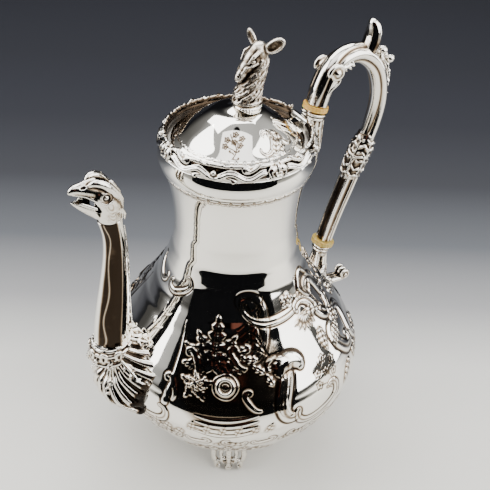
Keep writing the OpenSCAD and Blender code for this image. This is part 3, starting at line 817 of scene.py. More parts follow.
def chase_front(s):
    """The near face, from the spout round to the middle."""
    s.ground(236, 100, 26, 30, 0.12)
    s.ground(252, 106, 17, 26, 0.12)
    for i in range(4):
        band = np.array([[-17, -8 + 3.8 * i], [-6, -10 + 4.0 * i], [7, -9.5 + 4.0 * i], [20, -6 + 3.6 * i]])
        s.stroke(238, 79, smooth_line(band, 5), bulge(0.4, count=16) * 2.0, 0.6)
    for k in range(6):
        s.leaf(224 + 6.4 * k, 70, 80 - 4 * k, 9, 2.6, 0.6, lobes=3)
    s.stroke(259, 127, curl(58, 150, 230, heading=84, tight=3.0), bulge(0.3) * 5.4, 0.42, 0.2)
    for k in range(9):
        line = curl(16, 20, 60, heading=30 + 14 * k, count=10)
        s.engrave(257 + 0.7 * (k % 3), 137 - 2.9 * k, line, 0.45, 0.14)
    s.stroke(262, 128, curl(44, 130, 170, heading=84, tight=2.8), bulge(0.4) * 1.0, 0.3)
    s.stroke(266, 94, curl(54, -200, 220, heading=68, tight=3.0), bulge(0.5) * 5.2, 1.5, 0.6)
    for side in (-2.8, 2.8):
        s.stroke(266 + side * 0.6, 94, curl(46, -190, 200, heading=68, tight=3.0), bulge(0.4) * 1.0, 0.8)
    t = np.linspace(0, np.pi, 14)
    s.stroke(271, 104, np.stack([7.5 * np.cos(t), 6.0 * np.sin(t) - 2], 1), bulge(0.5, count=14) * 5.4, 2.0)
    for k in range(6):
        s.leaf(266 - 1.2 * k, 104 - 4.2 * k, 10 + 8 * k, 9, 1.6, 0.6, lobes=2)
    for heading, length, bow, tall in ((28, 18, -0.5, 0.6), (152, 18, 0.5, 0.6), (50, 23, -0.35, 0.7),
                                       (130, 23, 0.35, 0.7),
                                       (70, 25, -0.15, 0.8), (110, 25, 0.15, 0.8), (90, 34, 0.0, 1.0)):
        s.leaf(231, 106, heading, length, 6.4, tall, lobes=6, bend=bow)
    for phi, z, way in ((221, 111, 1), (241, 113, -1), (213, 96, 1), (248, 92, -1)):
        path = curl(22, 60, 310, heading=90 + 30 * way, tight=2.2)
        s.stroke(phi, z, placed(path, flip=way < 0), bulge(0.5) * 2.2, 1.0, 0.35)
    for k in range(5):
        s.leaf(224, 98, 72 * k + 20, 11, 3.2, 0.7, lobes=3)
    ragged_rose(s, 223.5, 99, 6.6)
    ringed_flower(s, 238, 99, 7.4)
    for k in range(7):
        s.engrave(248 + 1.1 * k, 128 - 3.2 * k, [[-3.5, -2.0], [0, 0.6], [3.5, 2.0]], 0.5, 0.12)
    for k in range(4):
        s.leaf(252 + 3 * k, 118 - 7 * k, 200 - 30 * k, 10, 2.8, 0.8, lobes=3)


def chase_shield_side(s):
    """The right of the near face: rosettes, a cartouche and scrolls, round to the handle."""
    s.stroke(276, 128, curl(62, 120, 150, heading=5, tight=2.4), bulge(0.3) * 3.0, 0.6, 0.3)
    s.flower(283, 135, 5.2, 5, 1.5)
    s.flower(295, 132, 4.6, 5, 1.4)
    for k in range(9):
        s.leaf(294, 124, 200 + 20 * k, 12, 1.5, 0.7, lobes=2)
    s.stroke(306, 121, curl(50, -170, 210, heading=-72, tight=2.3), bulge(0.4) * 4.1, 1.30, 0.5)
    s.stroke(308, 95, curl(46, 230, 230, heading=-60, tight=2.3), bulge(0.45) * 4.3, 1.37, 0.5)
    s.ground(306, 136, 9, 8, 0.1)
    ring = np.linspace(0, 2 * np.pi, 40)
    shield = np.stack([7 * np.sin(ring), 7.5 * np.cos(ring) + 1.4 * np.cos(3 * ring)], 1)
    s.stroke(306, 137, shield, 1.3, 1.2)
    s.spray(290, 88, 13)
    s.stroke(284, 70, curl(56, 150, 200, heading=10, tight=2.4), bulge(0.4) * 3.5, 0.8, 0.4)
    s.stroke(322, 126, curl(54, 190, 230, heading=100, tight=2.3), bulge(0.4) * 4.1, 1.22, 0.5)
    s.stroke(326, 97, curl(46, -200, 240, heading=60, tight=2.3), bulge(0.45) * 4.1, 1.30, 0.5)
    s.flower(318, 108, 6.5, 6, 1.7, layers=3)
    s.flower(338, 112, 6.5, 6, 1.7, layers=3)
    for k in range(6):
        s.leaf(315 + 5 * k, 86, -70 - 8 * k, 13, 2.8, 1.0, lobes=3)
        s.leaf(330 + 4 * k, 132, 60 + 12 * k, 14, 2.8, 1.0, lobes=4)
    for phi, z, heading, length in ((312, 118, 150, 20), (316, 104, 200, 18), (300, 112, 250, 16),
                                    (310, 84, 210, 18),
                                    (303, 100, 20, 15), (322, 116, 70, 20), (330, 120, 30, 18),
                                    (334, 92, 260, 18)):
        s.leaf(phi, z, heading, length, 4.2, 1.1, lobes=5, bend=0.16)
    for k in range(4):
        s.stroke(345 + 3 * k, 116 - 8 * k, curl(24, 160, 240, heading=50 * k, tight=2.1), bulge(0.5) * 2.7,
                 0.94, 0.3)


def chase_spout_side(s):
    """Beside the spout: a plain bright panel, with scrolls and leaves only round its foot."""
    s.stroke(212, 106, [[-1.5, -26], [0.4, -12], [0, 6], [-2.5, 24]], [2.6, 2.0, 1.4, 0.5], 0.8)
    s.stroke(196, 138, curl(30, 200, 160, heading=30, tight=2.4), bulge(0.4) * 2.2, 0.9, 0.3)
    s.stroke(203, 68, curl(50, 160, 200, heading=8, tight=2.6), bulge(0.4) * 3.0, 1.0, 0.35)
    for k in range(6):
        s.leaf(190 + 6 * k, 74 - k, -75 - 8 * k, 14, 3.0, 0.8, lobes=4)


def chase_foot_line(s):
    """Leaves that climb from each foot, and a border of scrolls low on the belly between them."""
    for phi in (180, 240, 300, 360):
        for k in range(-3, 4):
            s.leaf(phi + 4 * k, 38, 90 - 15 * k, 22 - 2 * abs(k), 4.0, 1.0, lobes=4, bend=-0.06 * k)
    for k in range(13):
        way = 1 if k % 2 else -1
        wave = placed(curl(20, 120, 200, heading=10, tight=2.4), flip=way < 0)
        s.stroke(184 + 14.5 * k, 58, wave, bulge(0.45) * 2.6, 0.8, 0.35)
        s.leaf(190 + 14.5 * k, 56, 20 if way > 0 else 160, 14, 3.0, 0.7, lobes=4)


def chase_neck_edge(s):
    """The small wavy border under the collar."""
    s.ground(270, 208.2, 90, 1.5, 0.1)
    for k in range(22):
        phi = 184 + 8.2 * k
        s.stroke(phi, 207.4, curl(8, 140, 140, heading=0), bulge(0.5) * 0.9, 0.5)
        s.flower(phi + 4.1, 207.0, 1.5, 5, 0.5, layers=1)
        s.stroke(phi, 205.6, curl(4.5, -80, -80, heading=0), bulge(0.5) * 0.5, 0.3)


for draw in (chase_front, chase_shield_side, chase_spout_side, chase_foot_line, chase_neck_edge):
    draw(body)
up, dark = body.both_sides()
up = soft_cut(up, 2)
hollow = np.clip((soft_cut(up, 40 // fine**2) - up - 0.03) * 3.0, 0, 1)
dark = np.clip(0.85 * dark + hollow, 0, 1)
fade = np.clip((TOP_Z - body.z) / 1.5, 0, 1) * np.clip((body.z - BASE_Z) / 2, 0, 1)
up, dark = up * fade[:, None], soft_cut(dark, 1)
print("relief, mm:", round(float(up.min()), 2), "to", round(float(up.max()), 2))

# %% Close the vessel with its inner wall
WALL = 1.1
BODY_LIMIT = float(cad_high[1]) / MM - 0.05  # just inside the CAD box
outer = turned_points(body, up)
# the highest relief is worn flat where it would pass the body's greatest radius
rho = np.hypot(outer[:, 0], outer[:, 1])
outer[:, :2] *= (np.minimum(rho, BODY_LIMIT) / rho)[:, None]
inner_z = np.linspace(TOP_Z, BASE_Z + WALL, 60)
inner = Skin(lambda z: np.interp(z, body.z, body.r) - WALL, inner_z, up.shape[1])
inner_points = turned_points(inner, np.zeros((len(inner_z), up.shape[1])))
columns = up.shape[1]
quads = np.vstack([
    grid_faces(len(body.z), columns),
    grid_faces(len(inner_z), columns, start=len(outer)),
    ring_join(len(outer) - columns, len(outer), columns),
    ring_join(len(outer) + len(inner_points) - columns, 0, columns)])
points = np.vstack([outer, inner_points])
recess = np.concatenate([np.clip(dark, 0, 1).ravel(), np.full(len(inner_points), 0.3)])
vessel = make_object("chased_body", points, quads, raised_silver, recess)
finish_piece(vessel, "pot", "silver", "body_shell")

# %% [markdown]
# ## The collar and its cast border
# The collar is a plain spun band. The border is one casting: four clusters of leaves and beads,
# front, back, left and right, joined by long double scrolls that meet in a point on each
# diagonal, with open piercings under a rolled, wavy upper edge. It is built in wax a quarter at a
# time along a strip that leans in towards the lid.

# %% Collar band
collar_low, collar_high = spot("collar_band", 0.5, 0.5, 0), spot("collar_band", 0.5, 0.5, 1)


def collar_radius(z):
    t = np.clip((z - collar_low[2]) / (collar_high[2] - collar_low[2]), 0, 1)
    return TOP_R + 1.2 * t + 1.7 * np.sin(np.pi * t)


TOP_R = float(shell_r[-1])
around_count = 360


def turned_ring(name, profile, material, recess=0.0):
    """A closed ring turned from an outline of (radius, height) points."""
    p = np.asarray(profile, float)
    turn = np.linspace(0, 2 * np.pi, around_count, endpoint=False)
    pts = np.stack([p[:, :1] * np.cos(turn), p[:, :1] * np.sin(turn), p[:, 1:] + 0 * turn], -1).reshape(-1, 3)
    faces = grid_faces(len(p), around_count)
    last = ring_join(len(pts) - around_count, 0, around_count)
    return make_object(name, pts, np.vstack([faces, last]), material, np.full(len(pts), recess))


z_steps = np.linspace(collar_low[2], collar_high[2], 28)
band_out = np.stack([collar_radius(z_steps), z_steps], 1)
# two fine beads of wire mark its lower edge
band_out[:, 0] += 0.35 * np.exp(-(((z_steps - collar_low[2] - 1.2) / 0.5) ** 2))
band_in = band_out[::-1] - [1.2, 0]
collar = turned_ring("collar_band_polished", np.vstack([band_out, band_in]), raised_silver)
finish_piece(collar, "pot", "silver", "collar_band")

# %% Wax tools that follow a curve
def along(wax, path, radius, ends=0.5, soft=0.3, curl_bead=0.0, cut_away=False):
    """A tapered rod along a path of 3-D points, with an optional bead at each end."""
    p = np.asarray(path, float)
    t = np.abs(np.linspace(-1, 1, len(p)))
    wax.rod(p, radius * (ends + (1 - ends) * (1 - t**2)), soft, cut_away)
    if curl_bead:
        wax.drop(p[0], curl_bead)
        wax.drop(p[-1], curl_bead)


def leaf_of(wax, root, tip, out, width, thick=0.7, lobes=3, soft=0.3, bow=0.0):
    """A lobed leaf from root to tip. out is the way its face looks."""
    root, tip, out = (np.asarray(v, float) for v in (root, tip, out))
    ahead = tip - root
    length = np.linalg.norm(ahead)
    ahead /= length
    side = np.cross(out, ahead)
    side /= np.linalg.norm(side)
    face = np.cross(ahead, side)
    spine = [root + ahead * length * t + face * bow * np.sin(np.pi * t) for t in np.linspace(0, 1, 7)]
    wax.rod(spine, np.array([0.9, 1, 1, 0.95, 0.8, 0.6, 0.35]) * thick, soft)
    for k in range(lobes):
        t = 0.18 + 0.62 * k / max(lobes - 1, 1)
        base = root + ahead * length * t + face * bow * np.sin(np.pi * t)
        for way in (-1, 1):
            reach = width * (1 - 0.45 * abs(t - 0.4) * 2)
            end = base + side * way * reach + ahead * reach * 0.75 - face * 0.15 * reach
            wax.rod([base, (base + end) / 2 + face * 0.12 * reach, end],
                    [thick * 0.75, thick * 0.8, thick * 0.4], soft * 0.7)


# %% The border, on a strip that leans in towards the lid
RIM_STEP = 0.34 * 1
rim_low, rim_high = spot("rim_border", 0, 0, 0), spot("rim_border", 1, 1, 1)
RIM_R = float(rim_high[1])
RIM_BOTTOM, RIM_TOP = float(rim_low[2]), float(rim_high[2])
RIM_LEAN = 2.2  # how far its top stands in from its foot
RIM_SET_BACK = 2.7  # from the CAD border's greatest radius to the face, so that the scrolls fit
RIM_BORE = 38.0  # clear of the lid
HINGE_GAP_X = 34
HINGE_GAP_HALF = 8.5


def on_rim(phi, u, out=0.0):
    """A place on the border's face: phi in degrees, u from 0 low to 1 high, out in mm."""
    r = RIM_R - RIM_SET_BACK - RIM_LEAN * np.clip(u, 0, None) ** 1.15 + out * 0.82
    z = RIM_BOTTOM + 1.0 + (RIM_TOP - RIM_BOTTOM - 2.0) * u + out * 0.55
    a = np.radians(phi)
    return np.stack([r * np.cos(a), r * np.sin(a), z + 0 * a], -1)


def rim_curl(phi, u, path, out=0.0):
    """Lay a flat path of mm on the border, centred on a place."""
    p = np.asarray(path, float)
    return on_rim(phi + np.degrees(p[:, 0] / (RIM_R - 4)), u + p[:, 1] / 10.0, out)


def rim_sunk(points):
    """How far a place lies behind the face of the border: 0 on the scrolls, 1 down on the web."""
    u = np.clip((points[:, 2] - RIM_BOTTOM - 1.0) / (RIM_TOP - RIM_BOTTOM - 2.0), 0, 1)
    face = RIM_R - RIM_SET_BACK - RIM_LEAN * u**1.15
    return 0.85 * np.clip((face - 0.1 - np.hypot(points[:, 0], points[:, 1])) / 1.0, 0, 1)


def build_rim():
    wax = Wax(rim_low - 0.4, rim_high + 0.4, RIM_STEP)
    phi = np.arange(0, 361, 1.5)
    lobes = np.abs(np.sin(np.radians(phi * 10)))
    # a thin curved web carries the scrolls; its rolled upper edge is lobed like a pie crust
    for u in (0.15, 0.35, 0.55, 0.75):
        wax.rod(on_rim(phi, u, -1.7), 1.0, 0.6)
    wax.rod(on_rim(phi, 0.90 + 0.05 * lobes, -0.4 + 0.4 * lobes), 0.9 + 0.2 * lobes, 0.25)
    for k in range(60):
        wax.drop(on_rim(6 * k + 3, 0.97, -0.2), 1.15, soft=0.15)
    for quarter in range(4):
        middle = 90 * quarter
        for way in (-1, 1):
            # a double-ridged wave runs from the cluster to the low point on the diagonal
            t = np.linspace(0, 1, 30)
            wave_u = 0.24 + 0.20 * np.cos(3 * np.pi * t)
            phi_wave = middle + way * (9 + 36 * t)
            along(wax, on_rim(phi_wave, wave_u, 1.0), 1.15, 0.9, 0.15)
            along(wax, on_rim(phi_wave, wave_u + 0.22, 0.5), 0.8, 0.9, 0.15)
            # ball-ended curls fill the wave's hollows, above it and below it, and stand by the cluster
            for turn, u, out, thick, shape in (
                    (19, 0.66, 0.7, 1.0, curl(17, 60, 330, heading=-30, tight=2.0, count=30)),
                    (32, 0.10, 0.8, 0.95, curl(13, 40, 320, heading=200, tight=2.0, count=30)),
                    (5.5, 0.36, 1.2, 1.15, curl(18, 40, 360, heading=80, tight=1.9, count=30))):
                path = rim_curl(middle + way * turn, u, placed(shape, flip=way < 0), out)
                along(wax, path, thick, 0.5, 0.15, 1.6)
            face = on_rim(middle + way * 9, 0.4, 4) - on_rim(middle + way * 9, 0.4)
            leaf_of(wax, on_rim(middle + way * 2, 0.20, 1.2), on_rim(middle + way * 9, -0.08, 1.2), face,
                    2.4, 1.0, 2, 0.15)
        face = on_rim(middle, 0.4, 4) - on_rim(middle, 0.4)
        leaf_of(wax, on_rim(middle, 0.85, 1.0), on_rim(middle, 0.02, 1.4), face, 3.2, 1.4, 3, 0.15)
        wax.drop(on_rim(middle + 45, 0.42, 1.0), 1.5, soft=0.12)
    # openings between the scrolls
    for k in range(8):
        for turn, u in ((-14, 0.62), (14, 0.62), (-21, 0.62)):
            wax.drop(on_rim(45 * k + turn, u, -1.2), (1.3, 1.3, 1.2), soft=0.2, cut_away=True)
    # the lower edge follows the scrolls instead of a plain circle
    x, y, z = wax.places()
    around_at = np.degrees(np.arctan2(y, x))
    edge = RIM_BOTTOM + 0.9 + 0.9 * np.abs(np.sin(np.radians(around_at * 6)))
    under_edge = np.where(np.sqrt(x**2 + y**2) > RIM_R - 3.4, edge - z, -9)
    wax.trim(np.where(wax.field > -0.6, under_edge, wax.field))
    # clear of the lid inside, of the hinge at the back, and of the CAD border's own box
    rho = np.sqrt(x**2 + y**2)
    notch = np.minimum(x - HINGE_GAP_X, HINGE_GAP_HALF - np.abs(y))
    wax.trim(np.maximum(RIM_BORE - rho, RIM_BOTTOM - z))
    wax.trim(np.minimum(rho - RIM_R + 0.05, 9) + 0 * z)
    wax.trim(notch + 0 * z)
    return wax.skin("cast_rim_border", cast_silver, sunk=rim_sunk)


finish_piece(build_rim(), "pot", "cast_silver", "rim_border")

# %% [markdown]
# ## The lid
# The lid is raised like the body, then engraved: a sprig in each plain panel and a scrolled
# cartouche between. Its finial is fixed from below by a stud and nut.

# %% Lid dome
lid_z, lid_r = ring_profile("lid_dome")


def lid_outline():
    """The dome's outer profile, from the flange's edge to the crown, read from the CAD dome."""
    co = np.array([v.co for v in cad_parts["lid_dome"].data.vertices]) / MM
    r, z = np.hypot(co[:, 0], co[:, 1]), co[:, 2]
    keys = np.unique(np.round(r, 1))
    top = np.array([z[np.abs(r - k) < 0.06].max() for k in keys])
    keep = np.concatenate([[True], np.diff(keys) > 0.4])
    return keys[keep], top[keep]


dome_r, dome_z = lid_outline()
LID_R = float(lid_r.max())
print("dome outline, r:", dome_r[:6], dome_r[-4:], " z:", dome_z[:4], dome_z[-6:])
DOME_STEPS = 120 // fine
keep = np.concatenate([[True], np.diff(dome_r) > 1.2])
keep[-1] = True
knots_r, knots_z = dome_r[keep], dome_z[keep]
fine_r = np.linspace(LID_R, 0.05, 900)
fine_z = cubic(fine_r, knots_r, knots_z)
dome_run = np.concatenate([[0], np.cumsum(np.hypot(np.diff(fine_r), np.diff(fine_z)))])
dome_at = np.linspace(0, dome_run[-1], DOME_STEPS)
dome_row_r = np.interp(dome_at, dome_run, fine_r)
dome_row_z = np.interp(dome_at, dome_run, fine_z) + np.linspace(0, 1e-4, DOME_STEPS)
for _ in range(4):
    dome_row_z[2:-1] = (dome_row_z[1:-2] + 2 * dome_row_z[2:-1] + dome_row_z[3:]) / 4
lid = Skin(lambda z: dome_row_r, dome_row_z, 720 // fine)


def engrave_lid(s):
    """A sprig in each plain panel and a scrolled cartouche with a textured leaf between."""
    s.spray(236, 232, 6.8)
    s.spray(340, 233, 6.0, flip=-1)
    s.stroke(283, 231, curl(26, 190, 230, heading=60, tight=2.2), bulge(0.4) * 1.3, 0.7, 0.2)
    s.stroke(298, 232, curl(22, -200, 210, heading=100, tight=2.2), bulge(0.4) * 1.2, 0.6, 0.2)
    s.leaf(288, 226, 75, 15, 3.4, 0.7, lobes=5)
    s.leaf(293, 227, 110, 11, 2.6, 0.6, lobes=4)
    s.leaf(280, 227, 60, 10, 2.4, 0.6, lobes=4)
    for k in range(24):
        s.stroke(184 + 7.5 * k, 226.2, curl(5, 90, 90), bulge(0.5) * 0.45, 0.25)


engrave_lid(lid)
lid_up, lid_dark = lid.both_sides()
lid_up *= np.clip((lid.run / 3), 0, 1)[:, None]
lid_outer = turned_points(lid, soft_cut(lid_up, 1))
LID_WALL = 1.2
under_z = np.linspace(lid.z[-1], lid.z[0], 40)
under = Skin(lambda z: np.maximum(np.interp(z, lid.z, lid.r) - 0.6, 0.05), under_z, lid_up.shape[1])
lid_inner = turned_points(under, np.zeros((40, lid_up.shape[1])))
lid_inner[:, 2] -= LID_WALL
n_col = lid_up.shape[1]
lid_inner[-n_col:, 2] = lid_z.min()
seam = ring_join(len(lid_outer) + len(lid_inner) - n_col, 0, n_col)
crown = ring_join(len(lid_outer) - n_col, len(lid_outer), n_col)
dome = make_object(
    "engraved_lid", np.vstack([lid_outer, lid_inner]),
    np.vstack([grid_faces(DOME_STEPS, n_col), grid_faces(40, n_col, start=len(lid_outer)), seam, crown]),
    raised_silver, np.concatenate([lid_dark.ravel(), np.full(len(lid_inner), 0.2)]))
finish_piece(dome, "lid", "silver", "lid_dome")

# %% [markdown]
# ## The doe finial
# A cast head and neck of a doe, looking along the spout. The long neck fur falls in curved
# locks, the skull is narrow with wide-set eyes, and the ears are cupped leaves: the far one
# upright, the near one swept back and open.

# %% Doe
def ear(wax, root, tip, open_way, width):
    """A cupped ear: a flattened drop with its inside scooped out."""
    root, tip, open_way = (np.asarray(v, float) for v in (root, tip, open_way))
    along_ear = tip - root
    half = np.linalg.norm(along_ear) / 2
    along_ear /= 2 * half
    open_way = open_way - (open_way @ along_ear) * along_ear
    open_way /= np.linalg.norm(open_way)
    side = np.cross(open_way, along_ear)
    middle = (root + tip) / 2
    frame_ear = (along_ear, side, open_way)
    wax.drop(middle, (half * 1.06, width, width * 0.62), frame_ear, 0.35)
    wax.drop(middle + open_way * width * 0.42 + along_ear * 0.3, (half * 0.82, width * 0.72, width * 0.5),
             frame_ear, 0.15, cut_away=True)
    for k in (-1, 0, 1):
        base = middle - along_ear * half * 0.6 + side * 0.5 * k - open_way * 0.05 * width
        wax.rod([base, base + along_ear * half * 0.9 + side * 0.5 * k], [0.3, 0.15], 0.15)


def build_doe():
    low, high = spot("finial_deer", 0, 0, 0), spot("finial_deer", 1, 1, 1)
    wax = Wax(low - 0.5, high + 0.5, 0.27 * fine)
    foot = float(low[2])
    neck = smooth_line([[4.9, 0, foot + 0.6, 7.2], [5.2, 0, foot + 4, 6.6], [7.4, 0, foot + 10, 6.0],
                        [10.2, 0, foot + 17, 5.2], [11.8, 0, foot + 23, 4.4], [11.4, 0, foot + 27, 3.2]], 5)
    wax.rod(neck[:, :3], neck[:, 3], 0.6)
    slope = np.array([-0.66, 0, -0.75])
    upward = np.array([-0.75, 0, 0.66])
    skull = (((11.2, 0, 271.0), (5.2, 5.0, 4.9)), ((7.8, 0, 267.8), (5.2, 4.8, 4.6)),
             ((4.4, 0, 263.8), (4.6, 3.7, 3.7)),
             ((1.4, 0, 260.2), (3.4, 2.9, 3.0)), ((-0.2, 0, 258.2), (2.5, 2.5, 2.3)))
    for centre, radii in skull:
        wax.drop(centre, radii, (slope, (0, 1, 0), upward), 0.9)
    wax.rod([(9.8, 0, 264.0), (5.6, 0, 260.4), (1.8, 0, 257.6)], [3.2, 2.4, 1.6], 0.8)
    for way in (-1, 1):
        wax.rod([(9.2, 4.0 * way, 272.0), (5.8, 4.7 * way, 270.2), (3.0, 3.7 * way, 266.6)],
                [1.0, 1.1, 0.5], 0.3)
        wax.drop((5.6, 5.1 * way, 267.4), (2.1, 1.4, 1.6), soft=0.12, cut_away=True)
        wax.drop((5.6, 4.3 * way, 267.4), (1.45, 1.1, 1.15), soft=0.08)
        wax.rod([(8.0, 4.7 * way, 266.2), (5.2, 4.6 * way, 265.2), (3.0, 3.7 * way, 264.2)],
                [0.7, 0.7, 0.3], 0.25)
        wax.rod([(2.4, 3.0 * way, 264.0), (0.2, 2.5 * way, 261.0)], [0.8, 0.5], 0.4)
        wax.drop((-1.4, 1.5 * way, 259.4), (0.85, 0.65, 0.6), soft=0.1, cut_away=True)
        wax.rod([(-2.1, 0.3 * way, 257.0), (0.2, 2.4 * way, 257.2), (2.8, 3.2 * way, 259.0)], 0.32, 0.1,
                cut_away=True)
        wax.rod([(10.6, 4.2 * way, 267.0), (8.6, 4.0 * way, 263.2), (6.6, 3.0 * way, 261.0)],
                [1.3, 1.1, 0.6], 0.5)
    wax.rod([(8.8, 0, 274.6), (6.0, 0, 271.6), (3.0, 0, 267.6)], [0.7, 0.6, 0.4], 0.5)
    ear(wax, (10.8, 3.2, 272.4), (9.4, 8.4, 280.2), (-0.9, -0.2, 0.1), 2.5)
    ear(wax, (13.0, -4.0, 271.6), (18.8, -11.6, 279.4), (-0.62, -0.70, -0.15), 3.6)
    rng = np.random.default_rng(4)
    for tier in range(5):
        height = foot + 22 - 4.6 * tier
        thick = np.interp(height, neck[:, 2], neck[:, 3])
        count = 13
        for k in range(count):
            a = 2 * np.pi * (k + 0.5 * (tier % 2)) / count + rng.uniform(-0.12, 0.12)
            if tier == 0 and np.cos(a) < -0.3:
                continue
            fall = np.linspace(0, 1, 8)
            long = 8.6 + rng.uniform(-1, 1)
            swirl = -0.75 * fall + 0.22 * np.sin(fall * 5.5)
            out = thick + 0.75 * np.sin(fall * np.pi * 0.9) - 0.25 + 0.9 * fall * (tier > 2)
            zz = np.maximum(height + 1 - long * fall, foot + 0.7)
            cx = np.interp(zz, neck[:, 2], neck[:, 0])
            lock = np.stack([cx + out * np.cos(a + swirl), out * 0.96 * np.sin(a + swirl), zz], 1)
            wax.rod(lock, np.array([0.45, 0.75, 0.95, 1.0, 0.95, 0.8, 0.55, 0.3]), 0.3)
            wax.rod(lock[1:-1]
                    + np.stack([np.cos(a + swirl[1:-1]), np.sin(a + swirl[1:-1]), 0 * zz[1:-1]], 1) * 1.15,
                    0.26, 0.1, cut_away=True)
    x, y, z = wax.places()
    wax.trim(foot + 0.05 - z + 0 * x + 0 * y)
    return wax.skin("doe_finial", doe_silver)


finish_piece(build_doe(), "lid", "cast_silver", "finial_deer")


# %% Beaded base of the finial
def build_finial_base():
    low, high = spot("finial_collar", 0, 0, 0), spot("finial_collar", 1, 1, 1)
    centre = (low + high) / 2
    radius = (high[1] - low[1]) / 2
    wax = Wax(low - 0.6, high + 0.6, 0.25 * fine)
    t = np.linspace(0, 2 * np.pi, 60)
    ring_line = np.stack([np.cos(t), np.sin(t), 0 * t], 1)
    wax.rod(centre + ring_line * (radius - 2.0) + [0, 0, -0.6], 1.2, 0.3)
    wax.drop(centre, (radius - 1.4, radius - 1.4, (high[2] - low[2]) / 2 - 0.1), soft=0.3)
    for k in range(34):
        a = 2 * np.pi * k / 34
        wax.drop(centre + np.array([np.cos(a), np.sin(a), 0]) * (radius - 1.0) + [0, 0, -0.6], 0.62,
                 soft=0.08)
    return wax.skin("beaded_finial_base", cast_silver)


finish_piece(build_finial_base(), "lid", "cast_silver", "finial_collar")

# %% [markdown]
# ## The spout
# A drawn tube with a cast shell at its foot, a ring of rolled scrolls, a leaf strap on the inner
# side and a bird's head for a mouth. The head has two hooded brows, a round ringed eye in a dark
# socket, a hooked upper bill and an open gape.

# %% Swept tubes
def swept(stations, steps, sides, relief=None):
    """Rings of a tube in the x-z plane. A station is x, z, half depth in the plane, half width.
    relief(t, angle) gives mm to add outward; angle 0 is the outer side of the bend."""
    s = smooth_line(stations, steps)
    ahead = np.gradient(s[:, :2], axis=0)
    ahead /= np.linalg.norm(ahead, axis=1)[:, None]
    side = np.stack([-ahead[:, 1], ahead[:, 0]], 1)
    t = np.linspace(0, 1, len(s))[:, None]
    angle = np.linspace(0, 2 * np.pi, sides, endpoint=False)[None]
    extra = relief(t, angle) if relief else 0 * t * angle
    deep = (s[:, 2:3] + extra) * np.cos(angle)
    wide = (s[:, 3:4] + extra) * np.sin(angle)
    x = s[:, :1] + side[:, :1] * deep
    z = s[:, 1:2] + side[:, 1:2] * deep
    return np.stack([x, wide, z], -1), extra


def tube_object(name, rings, material, recess, wall=None):
    """A closed skin from rings. With a wall it is a pipe, else its ends are domed shut."""
    rows, sides = rings.shape[:2]
    if wall is None:
        caps = [rings[0].mean(0) + (rings[0] - rings[0].mean(0)) * k for k in (0.02, 0.8)]
        tails = [rings[-1].mean(0) + (rings[-1] - rings[-1].mean(0)) * k for k in (0.8, 0.02)]
        full = np.concatenate([np.array(caps), rings, np.array(tails)])
        shade = np.concatenate([np.zeros((2, sides)), recess, np.zeros((2, sides))])
        faces = grid_faces(len(full), sides)
    else:
        centres = rings.mean(1, keepdims=True)
        reach_out = np.linalg.norm(rings - centres, axis=2, keepdims=True)
        inner_rings = centres + (rings - centres) * np.clip(1 - wall / reach_out, 0.1, 1)
        full = np.concatenate([rings, inner_rings[::-1], rings[:1]])
        shade = np.concatenate([recess, 0 * recess + 0.5, recess[:1]])
        faces = grid_faces(len(full), sides)
        faces = np.where(faces >= 2 * rows * sides, faces - 2 * rows * sides, faces)
        full, shade = full[:-1], shade[:-1]
    if point_out(full, faces) < 0:
        faces = faces[:, ::-1]
    return make_object(name, full.reshape(-1, 3), faces, material, shade.ravel())


def point_out(full, faces):
    """Signed volume of a closed skin: negative when its faces look inward."""
    p = full.reshape(-1, 3)[faces]
    p = p - p.reshape(-1, 3).mean(0)
    return float(np.einsum("ij,ij->i", p[:, 0], np.cross(p[:, 1], p[:, 2])).sum()
                 + np.einsum("ij,ij->i", p[:, 0], np.cross(p[:, 2], p[:, 3])).sum())


NECK = [[-83.5, 108, 10.4, 10.0], [-82.5, 118, 10.2, 9.7], [-80.5, 132, 9.7, 8.8], [-78, 150, 8.4, 7.6],
        [-76, 168, 6.9, 6.6], [-75.6, 182, 6.2, 6.1], [-76.6, 193, 6.9, 6.5]]


def panel(angle):
    """1 on the sunk panel that runs up each side of the tube, 0 elsewhere."""
    side_angle = np.abs((np.degrees(angle) + 180) % 360 - 180)
    return 1 / (1 + np.exp(-(side_angle - 26) / 2.2)) / (1 + np.exp((side_angle - 104) / 2.2))


def neck_relief(t, angle):
    """Sunk panels between raised edges, shallower towards the head."""
    sunk = panel(angle)
    return (0.35 * 4 * sunk * (1 - sunk) - 0.75 * sunk) * np.clip(1.3 - t, 0.3, 1)


neck_rings, neck_extra = swept(NECK, 24 // fine, 96, neck_relief)
painted_dark_panel = panel(np.linspace(0, 2 * np.pi, 96, endpoint=False))[None]
turn_deg = np.degrees((np.linspace(0, 2 * np.pi, 96, endpoint=False) + np.pi) % (2 * np.pi) - np.pi)[None]
up_tube = np.linspace(0, 1, len(neck_extra))[:, None]
# painted reflection: the side panel is painted near-black, as the dark room it would mirror, and bright
# streaks are painted up it on the side towards the pot, as the leaf strap's reflection
painted_strap_reflection = np.exp(-(((np.abs(turn_deg) - 46 - 7 * np.sin(17 * up_tube)) / 4.5) ** 2))
neck_shade = np.clip(1.25 * painted_dark_panel * (1 - 0.85 * painted_strap_reflection), 0, 1) + 0 * neck_extra
spout_tube = tube_object("spout_tube", neck_rings, raised_silver, neck_shade, wall=1.1)
finish_piece(spout_tube, "pot", "silver", "spout_neck")


# %% Fluted shell on the belly
def station_point(station, angle, grow=0.0):
    """A place on a station's ellipse. 0 is up the pot, 90 the near side."""
    x, z, deep, wide = station[:4]
    tilt = station[4]
    d = (deep + grow) * np.cos(np.radians(angle))
    return np.array([x + d * np.sin(tilt), -(wide + grow) * np.sin(np.radians(angle)), z + d * np.cos(tilt)])


